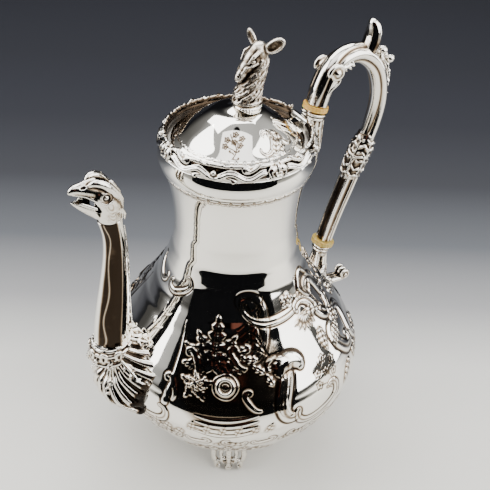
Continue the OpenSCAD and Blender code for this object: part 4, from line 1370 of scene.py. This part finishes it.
def build_shell():
    low, high = spot("spout_shell", 0, 0, 0), spot("spout_shell", 1, 1, 1)
    wax = Wax(low - 1, high + 1, 0.5 * fine)
    line = smooth_line([[-84.6, 98, 13.0, 12.6, 0.25], [-83.2, 94.4, 15.4, 15.4, 0.45],
                        [-79.5, 90, 19.6, 21.6, 0.8],
                        [-71.0, 86, 28.0, 31.5, 0.95], [-57, 82, 34.5, 40.5, 1.0]], 6)
    count = 22
    for k in range(count):
        angle = 360 * (k + 0.5) / count
        long = 1.0 - 0.08 * (k % 2)
        part = line[: max(int(len(line) * long), 4)]
        path = np.array([station_point(s, angle, -1.6) for s in part])
        t = np.linspace(0, 1, len(path))
        radius = 1.5 + 3.6 * t**1.1 - 0.7 * np.clip((t - 0.85) / 0.15, 0, 1)
        wax.rod(path, radius, 0.2)
        tip = path[-1]
        wax.drop(tip, radius[-1] * 1.1, soft=0.3)
    for k in range(count):
        angle = 360 * k / count
        lift = 0.4 + 1.4 * np.linspace(0, 1, len(line))
        gap = np.array([station_point(s, angle, q) for s, q in zip(line, lift)])
        wax.rod(gap[3:], np.linspace(0.8, 2.3, len(gap) - 3), 0.3, cut_away=True)
    for k in range(6):
        angle = 60 * k + 15
        root = station_point(line[3], angle, 0.8)
        leaf_of(wax, root, station_point(line[14], angle + 12, 2.2),
                station_point(line[8], angle, 9) - station_point(line[8], angle),
                4.2, 1.0, 3)
    wax.keep_outside_body(0.5)
    return wax.skin("fluted_spout_shell", cast_silver)


finish_piece(build_shell(), "pot", "cast_silver", "spout_shell")


# %% Rolled scrolls round the foot of the tube
def build_scroll_collar():
    low, high = spot("spout_scroll_collar", 0, 0, 0), spot("spout_scroll_collar", 1, 1, 1)
    wax = Wax(low - [2, 2, 6], high + [2, 2, 6], 0.36 * fine)
    ring_a = np.linspace(0, 360, 60)

    def ring(z, deep, wide, tilt=0.12):
        return np.array([station_point([-83.6 - 0.05 * (z - 104), z, deep, wide, np.pi / 2 - tilt], a)
                         for a in ring_a])

    wax.rod(ring(107.0, 11.0, 10.8), 1.2, 0.3)
    wax.rod(ring(104.2, 12.0, 11.7), 1.7, 0.3)
    wax.rod(ring(101.0, 11.8, 11.5), 1.4, 0.3)
    wax.rod(ring(98.2, 13.2, 12.8), 1.7, 0.3)
    for k in range(9):
        angle = 40 * k + 10
        for way in (-1, 1):
            flat_path = placed(curl(13, 200, 230, heading=70, count=20), flip=way < 0)
            path = [station_point([-83.9, 102.5 + q, 13.0, 12.6, np.pi / 2 - 0.12],
                                  angle + 6 * way + np.degrees(p / 13.0))
                    for p, q in flat_path]
            along(wax, path, 1.0, 0.55, 0.25, 1.15)
        far, near = (station_point([-83.6, 104, wide, wide, np.pi / 2], angle) for wide in (20, 10))
        out = far - near
        leaf_of(wax, station_point([-83.6, 103, 12.6, 12.2, np.pi / 2], angle),
                station_point([-83.0, 109.4, 11.3, 11.0, np.pi / 2], angle), out, 2.4, 0.7, 3)
        leaf_of(wax, station_point([-84, 101, 13, 12.6, np.pi / 2], angle + 20),
                station_point([-84.2, 95.2, 14.6, 14.2, np.pi / 2], angle + 20), out, 2.8, 0.8, 3)
    x, y, z = wax.places()
    bore = 9.6 - np.sqrt((x + 83.6) ** 2 + y**2) + 0 * z
    wax.trim(bore)
    wax.keep_outside_body(0.3)
    return wax.skin("rolled_scroll_collar", cast_silver)


finish_piece(build_scroll_collar(), "pot", "cast_silver", "spout_scroll_collar")


# %% Leaf strap up the inner side of the tube
def build_spout_leaf():
    wax = Wax(spot("spout_leaf", 0, 0, 0) - [1, 2, 2], spot("spout_leaf", 1, 1, 1) + [1, 2, 2], 0.36 * fine)
    spine = smooth_line([[-71.6, 111, 1.8], [-71.3, 122, 1.7], [-70.6, 138, 1.4], [-69.5, 155, 1.1],
                         [-69.0, 172, 0.9], [-69.2, 186, 0.5]], 6)
    wax.rod(np.stack([spine[:, 0], 0 * spine[:, 0], spine[:, 1]], 1), spine[:, 2], 0.3)
    for k in range(9):
        z = 113 + 8 * k
        x = np.interp(z, spine[:, 1], spine[:, 0]) - 0.5
        size = 1 - 0.075 * k
        for way in (-1, 1):
            path = [(x, 0.6 * way, z), (x - 0.3, 3.2 * way * size, z + 3.5),
                    (x - 2.2, 6.3 * way * size, z + 6.5),
                    (x - 3.4, 6.8 * way * size, z + 9.6)]
            wax.rod(smooth_line(path, 4), np.linspace(1.3, 0.5, 13) * size, 0.25)
    return wax.skin("spout_leaf_strap", cast_silver)


finish_piece(build_spout_leaf(), "pot", "cast_silver", "spout_leaf")


# %% Bird's head
def build_head():
    low, high = spot("spout_head", 0, 0, 0), spot("spout_head", 1, 1, 1)
    wax = Wax(low - [1, 2, 4], high + [2, 2, 2], 0.29 * fine)
    nape = smooth_line([[-76.6, 0, 193, 6.2], [-76.8, 0, 199, 6.9], [-77.6, 0, 205, 7.6],
                        [-80.6, 0, 210, 7.0]], 5)
    wax.rod(nape[:, :3], nape[:, 3], 0.6)
    bill = smooth_line([[-81, 0, 211.5, 5.6], [-85.4, 0, 213.6, 4.7], [-89.5, 0, 215.0, 3.5],
                        [-93.6, 0, 215.8, 2.3],
                        [-96.2, 0, 214.6, 1.0]], 5)
    wax.rod(bill[:, :3], bill[:, 3], 0.6)
    wax.rod([(-83, 0, 218.6), (-88, 0, 218.2), (-93, 0, 217.0), (-96.0, 0, 215.6)], [1.4, 1.4, 1.2, 0.7], 0.5)
    for way in (-1, 1):
        # hooded brow, a thick crest that sweeps back over the eye
        brow = smooth_line([[-86.2, 2.6 * way, 217.6, 1.2], [-83.4, 4.2 * way, 219.2, 1.9],
                            [-79.2, 5.2 * way, 217.4, 2.1],
                            [-75.2, 5.4 * way, 212.4, 2.0], [-71.8, 4.2 * way, 206.0, 1.7],
                            [-70.2, 2.6 * way, 199.6, 0.9]], 5)
        wax.rod(brow[:, :3], brow[:, 3], 0.35)
        wax.rod(brow[4:-4, :3] + [1.4, 0.9 * way, 1.5], 0.45, 0.2)
        wax.drop((-79.2, 6.9 * way, 210.4), (3.3, 1.6, 3.1), soft=0.2, cut_away=True)
        ring = np.linspace(0, 2 * np.pi, 22)
        wax.rod(np.stack([-79.2 + 2.5 * np.cos(ring), 6.1 * way + 0 * ring, 210.4 + 2.5 * np.sin(ring)],
                         1), 0.62, 0.12)
        wax.drop((-79.2, 5.7 * way, 210.4), (1.6, 1.5, 1.6), soft=0.08)
        wax.drop((-89.6, 2.6 * way, 217.2), (1.5, 0.9, 0.7), soft=0.15, cut_away=True)
        wax.rod([(-94.8, 1.2 * way, 213.8), (-89, 3.2 * way, 212.6), (-84, 5.2 * way, 209.4),
                 (-80.6, 6.2 * way, 203.6)],
                [0.6, 0.9, 1.0, 0.9], 0.3)
        for k in range(5):
            root = np.array([-77.0 + 1.4 * k, 6.6 * way - 0.5 * k * way, 205.4 - 1.2 * k])
            wax.rod([root, root + [1.6, 0.2 * way, -3.6], root + [1.4, -0.2 * way, -7.4]], [0.9, 0.8, 0.3],
                    0.15)
    for k in range(3):
        wax.rod([(-74 + 1.6 * k, 0, 215 - 3.4 * k), (-70.6 + 0.7 * k, 0, 209 - 3.6 * k),
                 (-69.6, 0, 203 - 3 * k)],
                [1.3, 1.1, 0.4], 0.3)
    # the open gape and throat
    wax.rod([(-76.4, 0, 190), (-77.2, 0, 198), (-80.6, 0, 203.8)], [5.0, 5.0, 4.6], 0.3, cut_away=True)
    for way in (-1.6, 0, 1.6):
        wax.rod([(-80.6, way, 203.4), (-87.6, way, 207.6), (-98, way, 209.0)], [4.4, 3.5, 3.3], 0.3,
                cut_away=True)
    x, y, z = wax.places()
    wax.trim(193.1 - z + 0 * x + 0 * y)
    return wax.skin("bird_head", cast_silver)


def build_lower_bill():
    low, high = spot("spout_lower_bill", 0, 0, 0), spot("spout_lower_bill", 1, 1, 1)
    wax = Wax(low - [1, 1, 2], high + [2, 1, 2], 0.29 * fine)
    jaw = smooth_line([[-79.6, 0, 198.6, 5.4], [-83.6, 0, 201.2, 4.6], [-88, 0, 204.2, 3.7],
                       [-92.4, 0, 207.0, 2.3],
                       [-95.6, 0, 209.0, 0.9]], 5)
    wax.rod(jaw[:, :3], jaw[:, 3], 0.5)
    for way in (-1, 1):
        wax.rod([(-81, 5.2 * way, 202.4), (-86, 4.3 * way, 205.2), (-91, 2.6 * way, 208.0),
                 (-95, 0.7 * way, 209.4)],
                [0.9, 0.9, 0.8, 0.5], 0.3)
    wax.rod([(-78, 0, 203.2), (-84, 0, 205.0), (-89.5, 0, 208.2), (-97, 0, 211.8)], [4.6, 3.9, 3.0, 2.2],
            0.3, cut_away=True)
    wax.rod([(-76.4, 0, 190), (-77.2, 0, 198), (-79.0, 0, 203)], [7.0, 7.2, 7.4], 0.2, cut_away=True)
    return wax.skin("bird_lower_bill", cast_silver)


finish_piece(build_head(), "pot", "cast_silver", "spout_head")
finish_piece(build_lower_bill(), "pot", "cast_silver", "spout_lower_bill")

# %% [markdown]
# ## The handle
# Two cast bars joined at an acanthus knop, held off the hot pot by a bone ring at each end. The
# upper bar starts in a pair of scroll eyes and carries ridges along its arch; a leaf strand with
# beads runs down the outside, and a plain thumb leaf stands on top.

# %% Bars
HANDLE = [[49, 226, 6.2, 7.0], [50.6, 233, 6.2, 7.0], [53, 242.5, 6.4, 7.2], [58, 252, 6.4, 7.0],
          [67, 258.6, 5.8, 6.6], [79, 257.6, 5.6, 6.4], [90, 247, 5.6, 6.2], [95, 229, 5.4, 5.8],
          [92.6, 209, 5.4, 5.6], [86, 191, 5.8, 5.6], [79, 171, 5.8, 5.6], [72.6, 152, 5.4, 5.4],
          [67.4, 134, 5.0, 5.4], [65.8, 127, 5.0, 5.4]]
ARM_FROM = 9
upper_ring, lower_ring = spot("handle_upper_insulator"), spot("handle_lower_insulator")


def bar_relief(t, angle):
    """Broad rolled ridges that wind slowly round the bar, with deep hollows between them."""
    wound = angle + 0.5 * np.sin(2.2 * np.pi * t)
    ridges = np.abs(np.cos(2 * wound)) ** 0.7
    fade = np.clip(np.sin(np.pi * np.clip(t * 1.02, 0, 1)) * 4, 0, 1)
    return fade * (1.25 * ridges - 1.15)


def arm_relief(t, angle):
    """A hollow face framed by rounded edges, with a long leaf vein down it."""
    framed = np.exp(-(((np.abs(np.sin(angle)) - 0.72) / 0.16) ** 2))
    vein = np.exp(-((np.cos(angle) / 0.13) ** 2))
    long = np.clip(np.sin(np.pi * np.clip(t, 0, 1)) * 5, 0, 1)
    return long * (0.35 * framed - 0.95 * (1 - framed) * (1 - vein) - 0.1)


def make_bar(name, stations, relief, node, first, last):
    """One bar, cut back to the rows whose distance from the rings' centres leaves them free."""
    rings, extra = swept(stations, 26 // fine, 120 // fine, relief)
    keep = np.ones(len(rings), bool)
    middle = rings.mean(1)
    for ring_centre in (upper_ring, lower_ring):
        keep &= np.linalg.norm(middle - ring_centre, axis=1) > 1.9
    rows = np.where(keep)[0]
    rows = rows[(rows >= first(middle)) & (rows <= last(middle))]
    shade = np.clip(-(extra[rows] + 0.45) * 1.3, 0, 0.8)
    finish_piece(tube_object(name, rings[rows], cast_silver, shade), "pot", "silver", node)


ring_row = lambda ring_centre: lambda middle: int(np.argmin(np.linalg.norm(middle - ring_centre, axis=1)))
make_bar("handle_arch_bar", HANDLE[: ARM_FROM + 1], bar_relief, "handle_arch",
         ring_row(upper_ring), lambda middle: len(middle))
make_bar("handle_lower_bar", HANDLE[ARM_FROM:], arm_relief, "handle_lower_arm",
         lambda middle: 0, ring_row(lower_ring))


# %% Cast ornaments of the handle
def flat_curl(wax, centre, path, y, radius, ends=0.5, bead=0.0, soft=0.3):
    """A scroll lying in the handle's plane, moved sideways by y."""
    p = np.asarray(path, float)
    pts = np.stack([centre[0] + p[:, 0], y + 0 * p[:, 0], centre[1] + p[:, 1]], 1)
    along(wax, pts, radius, ends, soft, bead)


def build_volute():
    """The pair of scroll eyes where the arch springs from its ring."""
    low, high = spot("handle_volute", 0, 0, 0), spot("handle_volute", 1, 1, 1)
    centre = spot("handle_volute")[[0, 2]]
    wax = Wax(low - [6, 1, 8], high + [8, 1, 5], 0.34 * fine)
    turn = np.linspace(0, 2.1 * 2 * np.pi, 60)
    growth = 0.5 + 4.3 * turn / turn[-1]
    spiral = np.stack([growth * np.cos(turn + 2.6), growth * np.sin(turn + 2.6)], 1)
    for way in (-1, 1):
        flat_curl(wax, centre, spiral, 7.1 * way, 1.25, 1.0)
        wax.rod([(centre[0], 5.6 * way, centre[1]), (centre[0], 7.6 * way, centre[1])], [4.2, 2.0], 0.2)
        tail = smooth_line([[3.6, -2.0], [2.0, -6.0], [-2.0, -9.0], [-4.4, -12.0]], 6)
        flat_curl(wax, centre, tail, 6.4 * way, 1.2, 0.5)
        leaf_of(wax, (centre[0] + 3, 6.6 * way, centre[1] + 1.5),
                (centre[0] + 12, 6.0 * way, centre[1] + 3.5),
                (0, way, 0.3), 3.0, 1.0, 3)
    wax.rod([(centre[0], -7, centre[1]), (centre[0], 7, centre[1])], 2.6, 0.4)
    return wax.skin("handle_scroll_eyes", cast_silver)


finish_piece(build_volute(), "pot", "cast_silver", "handle_volute")


def build_knop():
    """Acanthus leaves that wrap the joint of the two bars, with a crossing strap."""
    low, high = spot("handle_knop", 0, 0, 0), spot("handle_knop", 1, 1, 1)
    wax = Wax(low - 2, high + 2, 0.4 * fine)
    line = smooth_line([[90.4, 203, 5.9], [88.6, 198, 6.6], [86, 191, 7.0], [83, 183, 6.4],
                        [80.6, 177, 5.9]], 6)
    middle = np.array([86, 0, 191.0])
    ahead = np.array([0.38, 0, 0.925])
    side = np.array([0.925, 0, -0.38])
    wax.rod(line[:, [0]] * [1, 0, 0] + line[:, [1]] * [0, 0, 1], line[:, 2] - 0.3, 0.5)
    for k in range(6):
        a = 2 * np.pi * k / 6 + 0.5
        way = side * np.cos(a) + np.array([0, 1, 0]) * np.sin(a)
        for direction, long in ((1, 12.0), (-1, 15.0)):
            root = middle + way * 6.4 - ahead * direction * 2
            tip = middle + way * 5.4 + ahead * direction * long
            leaf_of(wax, root, tip, way, 4.2, 0.9, 3, 0.5, bow=0.7)
    ring = np.linspace(0, 2 * np.pi, 40)
    loop = middle + np.outer(np.cos(ring), side) * 7.2 + np.outer(np.sin(ring), [0, 1, 0]) * 7.0
    wax.rod(loop + ahead * 0.8 * np.sin(3 * ring)[:, None], 0.7, 0.4)
    return wax.skin("acanthus_knop", cast_silver)


finish_piece(build_knop(), "pot", "cast_silver", "handle_knop")


def build_strand():
    """A strand of overlapping leaves down the outside of the arch and arm."""
    low, high = spot("handle_outer_strand", 0, 0, 0), spot("handle_outer_strand", 1, 1, 1)
    wax = Wax(low - [2, 2, 1], high + [1, 2, 1], 0.4 * fine)
    spine = smooth_line([[93.0, 254.5], [97.6, 245], [99.2, 229], [97.0, 209], [91.4, 190], [85.0, 172.6]], 8)
    ahead = np.gradient(spine, axis=0)
    ahead /= np.linalg.norm(ahead, axis=1)[:, None]
    pts = np.stack([spine[:, 0], 0 * spine[:, 0], spine[:, 1]], 1)
    wax.rod(pts, np.linspace(1.9, 1.3, len(pts)), 0.3)
    for k in range(2, len(spine) - 3, 4):
        here = pts[k]
        onward = np.array([ahead[k, 0], 0, ahead[k, 1]])
        out = np.array([-ahead[k, 1], 0, ahead[k, 0]])
        size = 1 - 0.45 * k / len(spine)
        for way in (-1, 1):
            tip = here + onward * 7.5 * size + np.array([0, 4.2 * way * size, 0]) - out * 1.6
            wax.rod([here, (here + tip) / 2 + out * 0.8, tip], [1.2 * size, 1.5 * size, 0.5], 0.25)
            wax.rod([here, here + onward * 4 * size + np.array([0, 1.6 * way * size, 0]) + out * 1.2],
                    [1.1, 0.6], 0.2)
    return wax.skin("leaf_strand", cast_silver)


finish_piece(build_strand(), "pot", "cast_silver", "handle_outer_strand")


def build_thumb_leaf():
    """A plain bright leaf for the thumb: broad, smooth and rounded, with a rolled tip."""
    low, high = spot("thumb_leaf", 0, 0, 0), spot("thumb_leaf", 1, 1, 1)
    wax = Wax(low - 1, high + 1, 0.36 * fine)
    spine = smooth_line([[80.8, 0, 257.0, 3.6], [83.2, 0, 262.0, 3.9], [84.6, 0, 267.5, 3.7],
                         [84.6, 0, 272.0, 3.0],
                         [83.6, 0, 275.0, 1.8]], 6)
    for lane in (-1.9, 0, 1.9):
        wax.rod(spine[:, :3] + np.array([0.25 * abs(lane), lane, 0]) * np.clip(spine[:, 3:] / 3.9, 0, 1),
                spine[:, 3] * 0.88, 1.2)
    for way in (-1, 1):
        flat_curl(wax, (81.5, 257.5), placed(curl(10, 160, 200, heading=70)), 4.2 * way, 0.9, 0.6, 1.0)
    return wax.skin("thumb_rest", raised_silver, smooth=3)


finish_piece(build_thumb_leaf(), "pot", "cast_silver", "thumb_leaf")


def build_beads():
    """Three berries with small leaves at the head of the strand."""
    low, high = spot("bead_cluster", 0, 0, 0), spot("bead_cluster", 1, 1, 1)
    wax = Wax(low - [5, 1, 5], high + [0.5, 1, 0.5], 0.3 * fine)
    for centre, radius in (((93.4, 0, 257), 2.9), ((97.4, -3, 252.6), 2.4), ((97.4, 3, 252.6), 2.4)):
        centre = np.array(centre)
        wax.drop(centre, radius, soft=0.15)
        for k in range(8):
            a = 2 * np.pi * k / 8
            wax.rod([centre + radius * np.array([0.75 * np.cos(a), 0.75 * np.sin(a), 0.45]),
                     centre + radius * np.array([0.25 * np.cos(a), 0.25 * np.sin(a), 0.95])], 0.22, 0.1,
                     cut_away=True)
    for way in (-1, 1):
        leaf_of(wax, (93.5, 2.0 * way, 253.6), (88.6, 5.6 * way, 256.4), (0.4, way, 0.6), 2.2, 0.8, 3)
    return wax.skin("berry_cluster", cast_silver)


finish_piece(build_beads(), "pot", "cast_silver", "bead_cluster")


def build_upper_socket():
    """A fluted cup on the collar that runs out below in a long drop."""
    low, high = spot("handle_upper_socket", 0, 0, 0), spot("handle_upper_socket", 1, 1, 1)
    wax = Wax(low - 1, high + 1, 0.36 * fine)
    spine = smooth_line([[50.0, 0, 226.4, 6.0], [49.9, 0, 222, 5.7], [50.2, 0, 216, 5.4],
                         [51.4, 0, 210.5, 4.4],
                         [52.9, 0, 205.4, 3.0], [54.2, 0, 201.2, 1.6]], 6)
    wax.rod(spine[:, :3], spine[:, 3], 0.5)
    for k in range(12):
        a = 2 * np.pi * k / 12
        way = np.array([np.cos(a), np.sin(a), 0])
        wax.rod(spine[3:-5, :3] + way * (spine[3:-5, 3:] + 0.15), 0.55, 0.2, cut_away=True)
    ring = np.linspace(0, 2 * np.pi, 40)
    for offset, radius in ((-3.4, 6.4), (-5.6, 6.0)):
        tilt = np.array([0.245, 0, 0.97])
        across = np.array([0.97, 0, -0.245])
        outward = np.outer(np.cos(ring), across) * radius
        loop = upper_ring + tilt * offset + outward + np.outer(np.sin(ring), [0, 1, 0]) * radius
        wax.rod(loop, 0.85, 0.2)
    for way in (-1, 1):
        leaf_of(wax, (50.2, 5.2 * way, 220), (53.4, 2.6 * way, 206.5), (0.3, way, 0), 2.4, 0.9, 4)
        leaf_of(wax, (48.0, 5.0 * way, 214), (43.0, 8.2 * way, 209.0), (0, way, 0.2), 2.2, 0.8, 3)
    x, y, z = wax.places()
    above = (x - upper_ring[0]) * 0.245 + (z - upper_ring[2]) * 0.97 + 1.55
    inside_collar = collar_radius(z) - 0.4 - np.sqrt(x**2 + y**2)
    lidded = np.minimum(43.6 - np.sqrt(x**2 + y**2), z - 219.5)
    wax.trim(above + 0 * y)
    wax.trim(np.maximum(inside_collar, lidded))
    return wax.skin("upper_socket_cast", cast_silver)


finish_piece(build_upper_socket(), "pot", "cast_silver", "handle_upper_socket")


def build_lower_socket():
    """A cup on two reeded stems that part and settle on the belly."""
    low, high = spot("handle_lower_socket", 0, 0, 0), spot("handle_lower_socket", 1, 1, 1)
    wax = Wax(low - [3, 2, 2], high + [1, 2, 1], 0.4 * fine)
    wax.rod([(65.8, 0, 126.6), (64.8, 0, 122.6)], [5.2, 4.6], 0.6)
    ring = np.linspace(0, 2 * np.pi, 40)
    for offset, radius in ((-2.9, 5.5), (-5.4, 5.0)):
        tilt = np.array([0.26, 0, 0.966])
        across = np.array([0.966, 0, -0.26])
        outward = np.outer(np.cos(ring), across) * radius
        loop = lower_ring + tilt * offset + outward + np.outer(np.sin(ring), [0, 1, 0]) * radius
        wax.rod(loop, 0.8, 0.2)
    for path, spread in (([[62.6, 124], [61.0, 116], [58.6, 104]], 3.4),
                         ([[67.4, 124], [67.2, 113], [67.6, 97]], 4.4)):
        line = smooth_line(path, 7)
        t = np.linspace(0, 1, len(line))
        for lane in (-1, 0, 1):
            pts = np.stack([line[:, 0], lane * (1.7 + (spread - 1.7) * t), line[:, 1]], 1)
            wax.rod(pts, 1.6 + 0.5 * t, 0.25)
    for way in (-1, 1):
        flat_curl(wax, (66.4, 104), placed(curl(18, 200, 240, heading=80)), 5.4 * way, 1.2, 0.55, 1.5)
        leaf_of(wax, (66.2, 4.2 * way, 112), (62.6, 9.0 * way, 104.6), (0.4, way, 0.3), 3.2, 1.0, 4)
    x, y, z = wax.places()
    above = (x - lower_ring[0]) * 0.26 + (z - lower_ring[2]) * 0.966 + 1.55
    wax.trim(above + 0 * y)
    wax.keep_outside_body(0.4)
    return wax.skin("lower_socket_cast", cast_silver)


finish_piece(build_lower_socket(), "pot", "cast_silver", "handle_lower_socket")


def build_spur():
    """A free scroll under the socket, ending in a rolled eye."""
    low, high = spot("handle_spur", 0, 0, 0), spot("handle_spur", 1, 1, 1)
    wax = Wax(low - [2, 2, 2], high + [1, 1, 1], 0.36 * fine)
    eye = np.array([high[0] - 4.3, 0, high[2] - 4.3])
    stem = smooth_line([[66.5, 92.5], [73, 93.6], [79.5, 93.4], [84.4, 92.8], [88.6, 94.2]], 6)
    for lane in (-2.6, 0, 2.6):
        pts = np.stack([stem[:, 0], lane + 0 * stem[:, 0], stem[:, 1]], 1)
        wax.rod(pts, np.linspace(2.4, 1.3, len(pts)), 0.25)
    turn = np.linspace(0, 3.4 * np.pi, 50)
    growth = 3.4 - 2.5 * turn / turn[-1]
    for y in (-3.6, 0, 3.6):
        pts = np.stack([eye[0] + growth * np.cos(turn - 1.4), y + 0 * turn,
                        eye[2] + growth * np.sin(turn - 1.4)], 1)
        wax.rod(pts, 0.95, 0.25)
    wax.rod([eye + [0, -4.6, 0], eye + [0, 4.6, 0]], 1.3, 0.2)
    for way in (-1, 1):
        leaf_of(wax, (76, 2.6 * way, 94.4), (69.5, 6.8 * way, 96.6), (0, way, 0.6), 2.8, 0.9, 3)
    wax.keep_outside_body(0.4)
    return wax.skin("spur_scroll", cast_silver)


finish_piece(build_spur(), "pot", "cast_silver", "handle_spur")

# %% [markdown]
# ## The feet
# Each foot is a small openwork fan: a stem of beads between two scrolls with ball ends, leaves
# where it spreads on the body. One is built and turned about the pot's axis for the other two.

# %% Foot
def build_foot(name, node, turn):
    """A foot in its own frame (out along +X), then turned to its place."""
    wax = Wax((38, -18, -0.5), (63, 18, 36), 0.36 * fine)

    def out_at(z):
        """How far out the foot's face stands at a height."""
        return np.interp(z, [0, 10, 20, 30, 36], [54.4, 53.6, 51.6, 50.6, 54.0])

    for k, z in enumerate(np.linspace(1.9, 27, 12)):
        wax.drop((out_at(z) + 0.3, 0, z), 1.75 + 0.08 * k, soft=0.25)
    wax.rod([(out_at(z), 0, z) for z in (1.6, 10, 20, 29)], [1.5, 1.3, 1.6, 2.6], 0.3)
    for way in (-1, 1):
        side_arc = smooth_line([[2.0, 30], [5.6, 25], [9.4, 18], [10.0, 11], [7.6, 5.4], [7.4, 2.4]], 6)
        pts = [(out_at(z) - 0.9, way * y, z) for y, z in side_arc]
        wax.rod(pts, np.linspace(2.4, 1.5, len(pts)), 0.3)
        inner = smooth_line([[1.6, 26], [4.2, 20], [5.2, 13], [3.6, 8.4], [3.2, 5.0]], 6)
        wax.rod([(out_at(z) - 0.2, way * y, z) for y, z in inner], np.linspace(1.7, 0.9, len(inner)), 0.25)
        for (y, z), path in (((8.6, 5.4), curl(12, 260, 120, heading=100)),
                             ((9.6, 20), curl(14, 200, 240, heading=60)),
                             ((4.4, 8.6), curl(9, 220, 220, heading=80))):
            p = placed(path, flip=way < 0)
            along(wax, [(out_at(z + q) + 0.2, way * y + s, max(z + q, 1.2)) for s, q in p], 1.05, 0.6,
                  0.25, 1.25)
        wax.drop((out_at(2) - 0.9, 7.4 * way, 2.3), 2.2, soft=0.3)
        face = np.array([1, 0.35 * way, -0.4])
        leaf_of(wax, (out_at(27) - 0.2, 3.0 * way, 25), (out_at(34) + 2.2, 12.5 * way, 33.0), face, 3.6,
                1.1, 4)
        leaf_of(wax, (out_at(24) + 0.2, 1.6 * way, 24), (out_at(34) + 4.0, 5.2 * way, 34.4), face, 3.0,
                1.0, 4)
    wax.drop((out_at(2) + 0.1, 0, 2.1), (2.4, 2.6, 2.0), soft=0.3)
    x, y, z = wax.places()
    wax.trim(-z + 0 * x + 0 * y)
    wax.keep_outside_body(0.4)

    def sunk(points):
        """Painted shade: dark behind the stem and the scrolls, which sit set back under the belly."""
        return np.clip((out_at(points[:, 2]) - 0.4 - points[:, 0]) / 1.8, 0, 1)

    foot = wax.skin(name, cast_silver, dark=1.0, sunk=sunk)
    foot.data.transform(Matrix.Rotation(np.radians(turn), 4, "Z"))
    return finish_piece(foot, "pot", "cast_silver", node)


for name, node in (("cast_foot_near", "foot_near"), ("cast_foot_far", "foot_far"),
                   ("cast_foot_back", "foot_back")):
    centre = spot(node)
    build_foot(name, node, np.degrees(np.arctan2(centre[1], centre[0])))

# %% CAD nodes whose shape is right keep it and take a finish
KEPT = {
    inner_silver: ("bottom_disc", "mouth_ring", "handle_upper_pin", "handle_lower_pin", "lid_bezel",
                   "finial_stud", "finial_nut"),
    raised_silver: ("hinge_body_knuckles", "hinge_pin", "lid_hinge_leaf"),
    honey_bone: ("handle_upper_insulator",),
    olive_bone: ("handle_lower_insulator",),
}
finish_of = {name: finish for finish, names in KEPT.items() for name in names}
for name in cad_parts:
    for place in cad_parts[name].material_slots:
        place.material = finish_of.get(name, cast_silver)
print("nodes that keep their CAD shape:", len(finish_of))
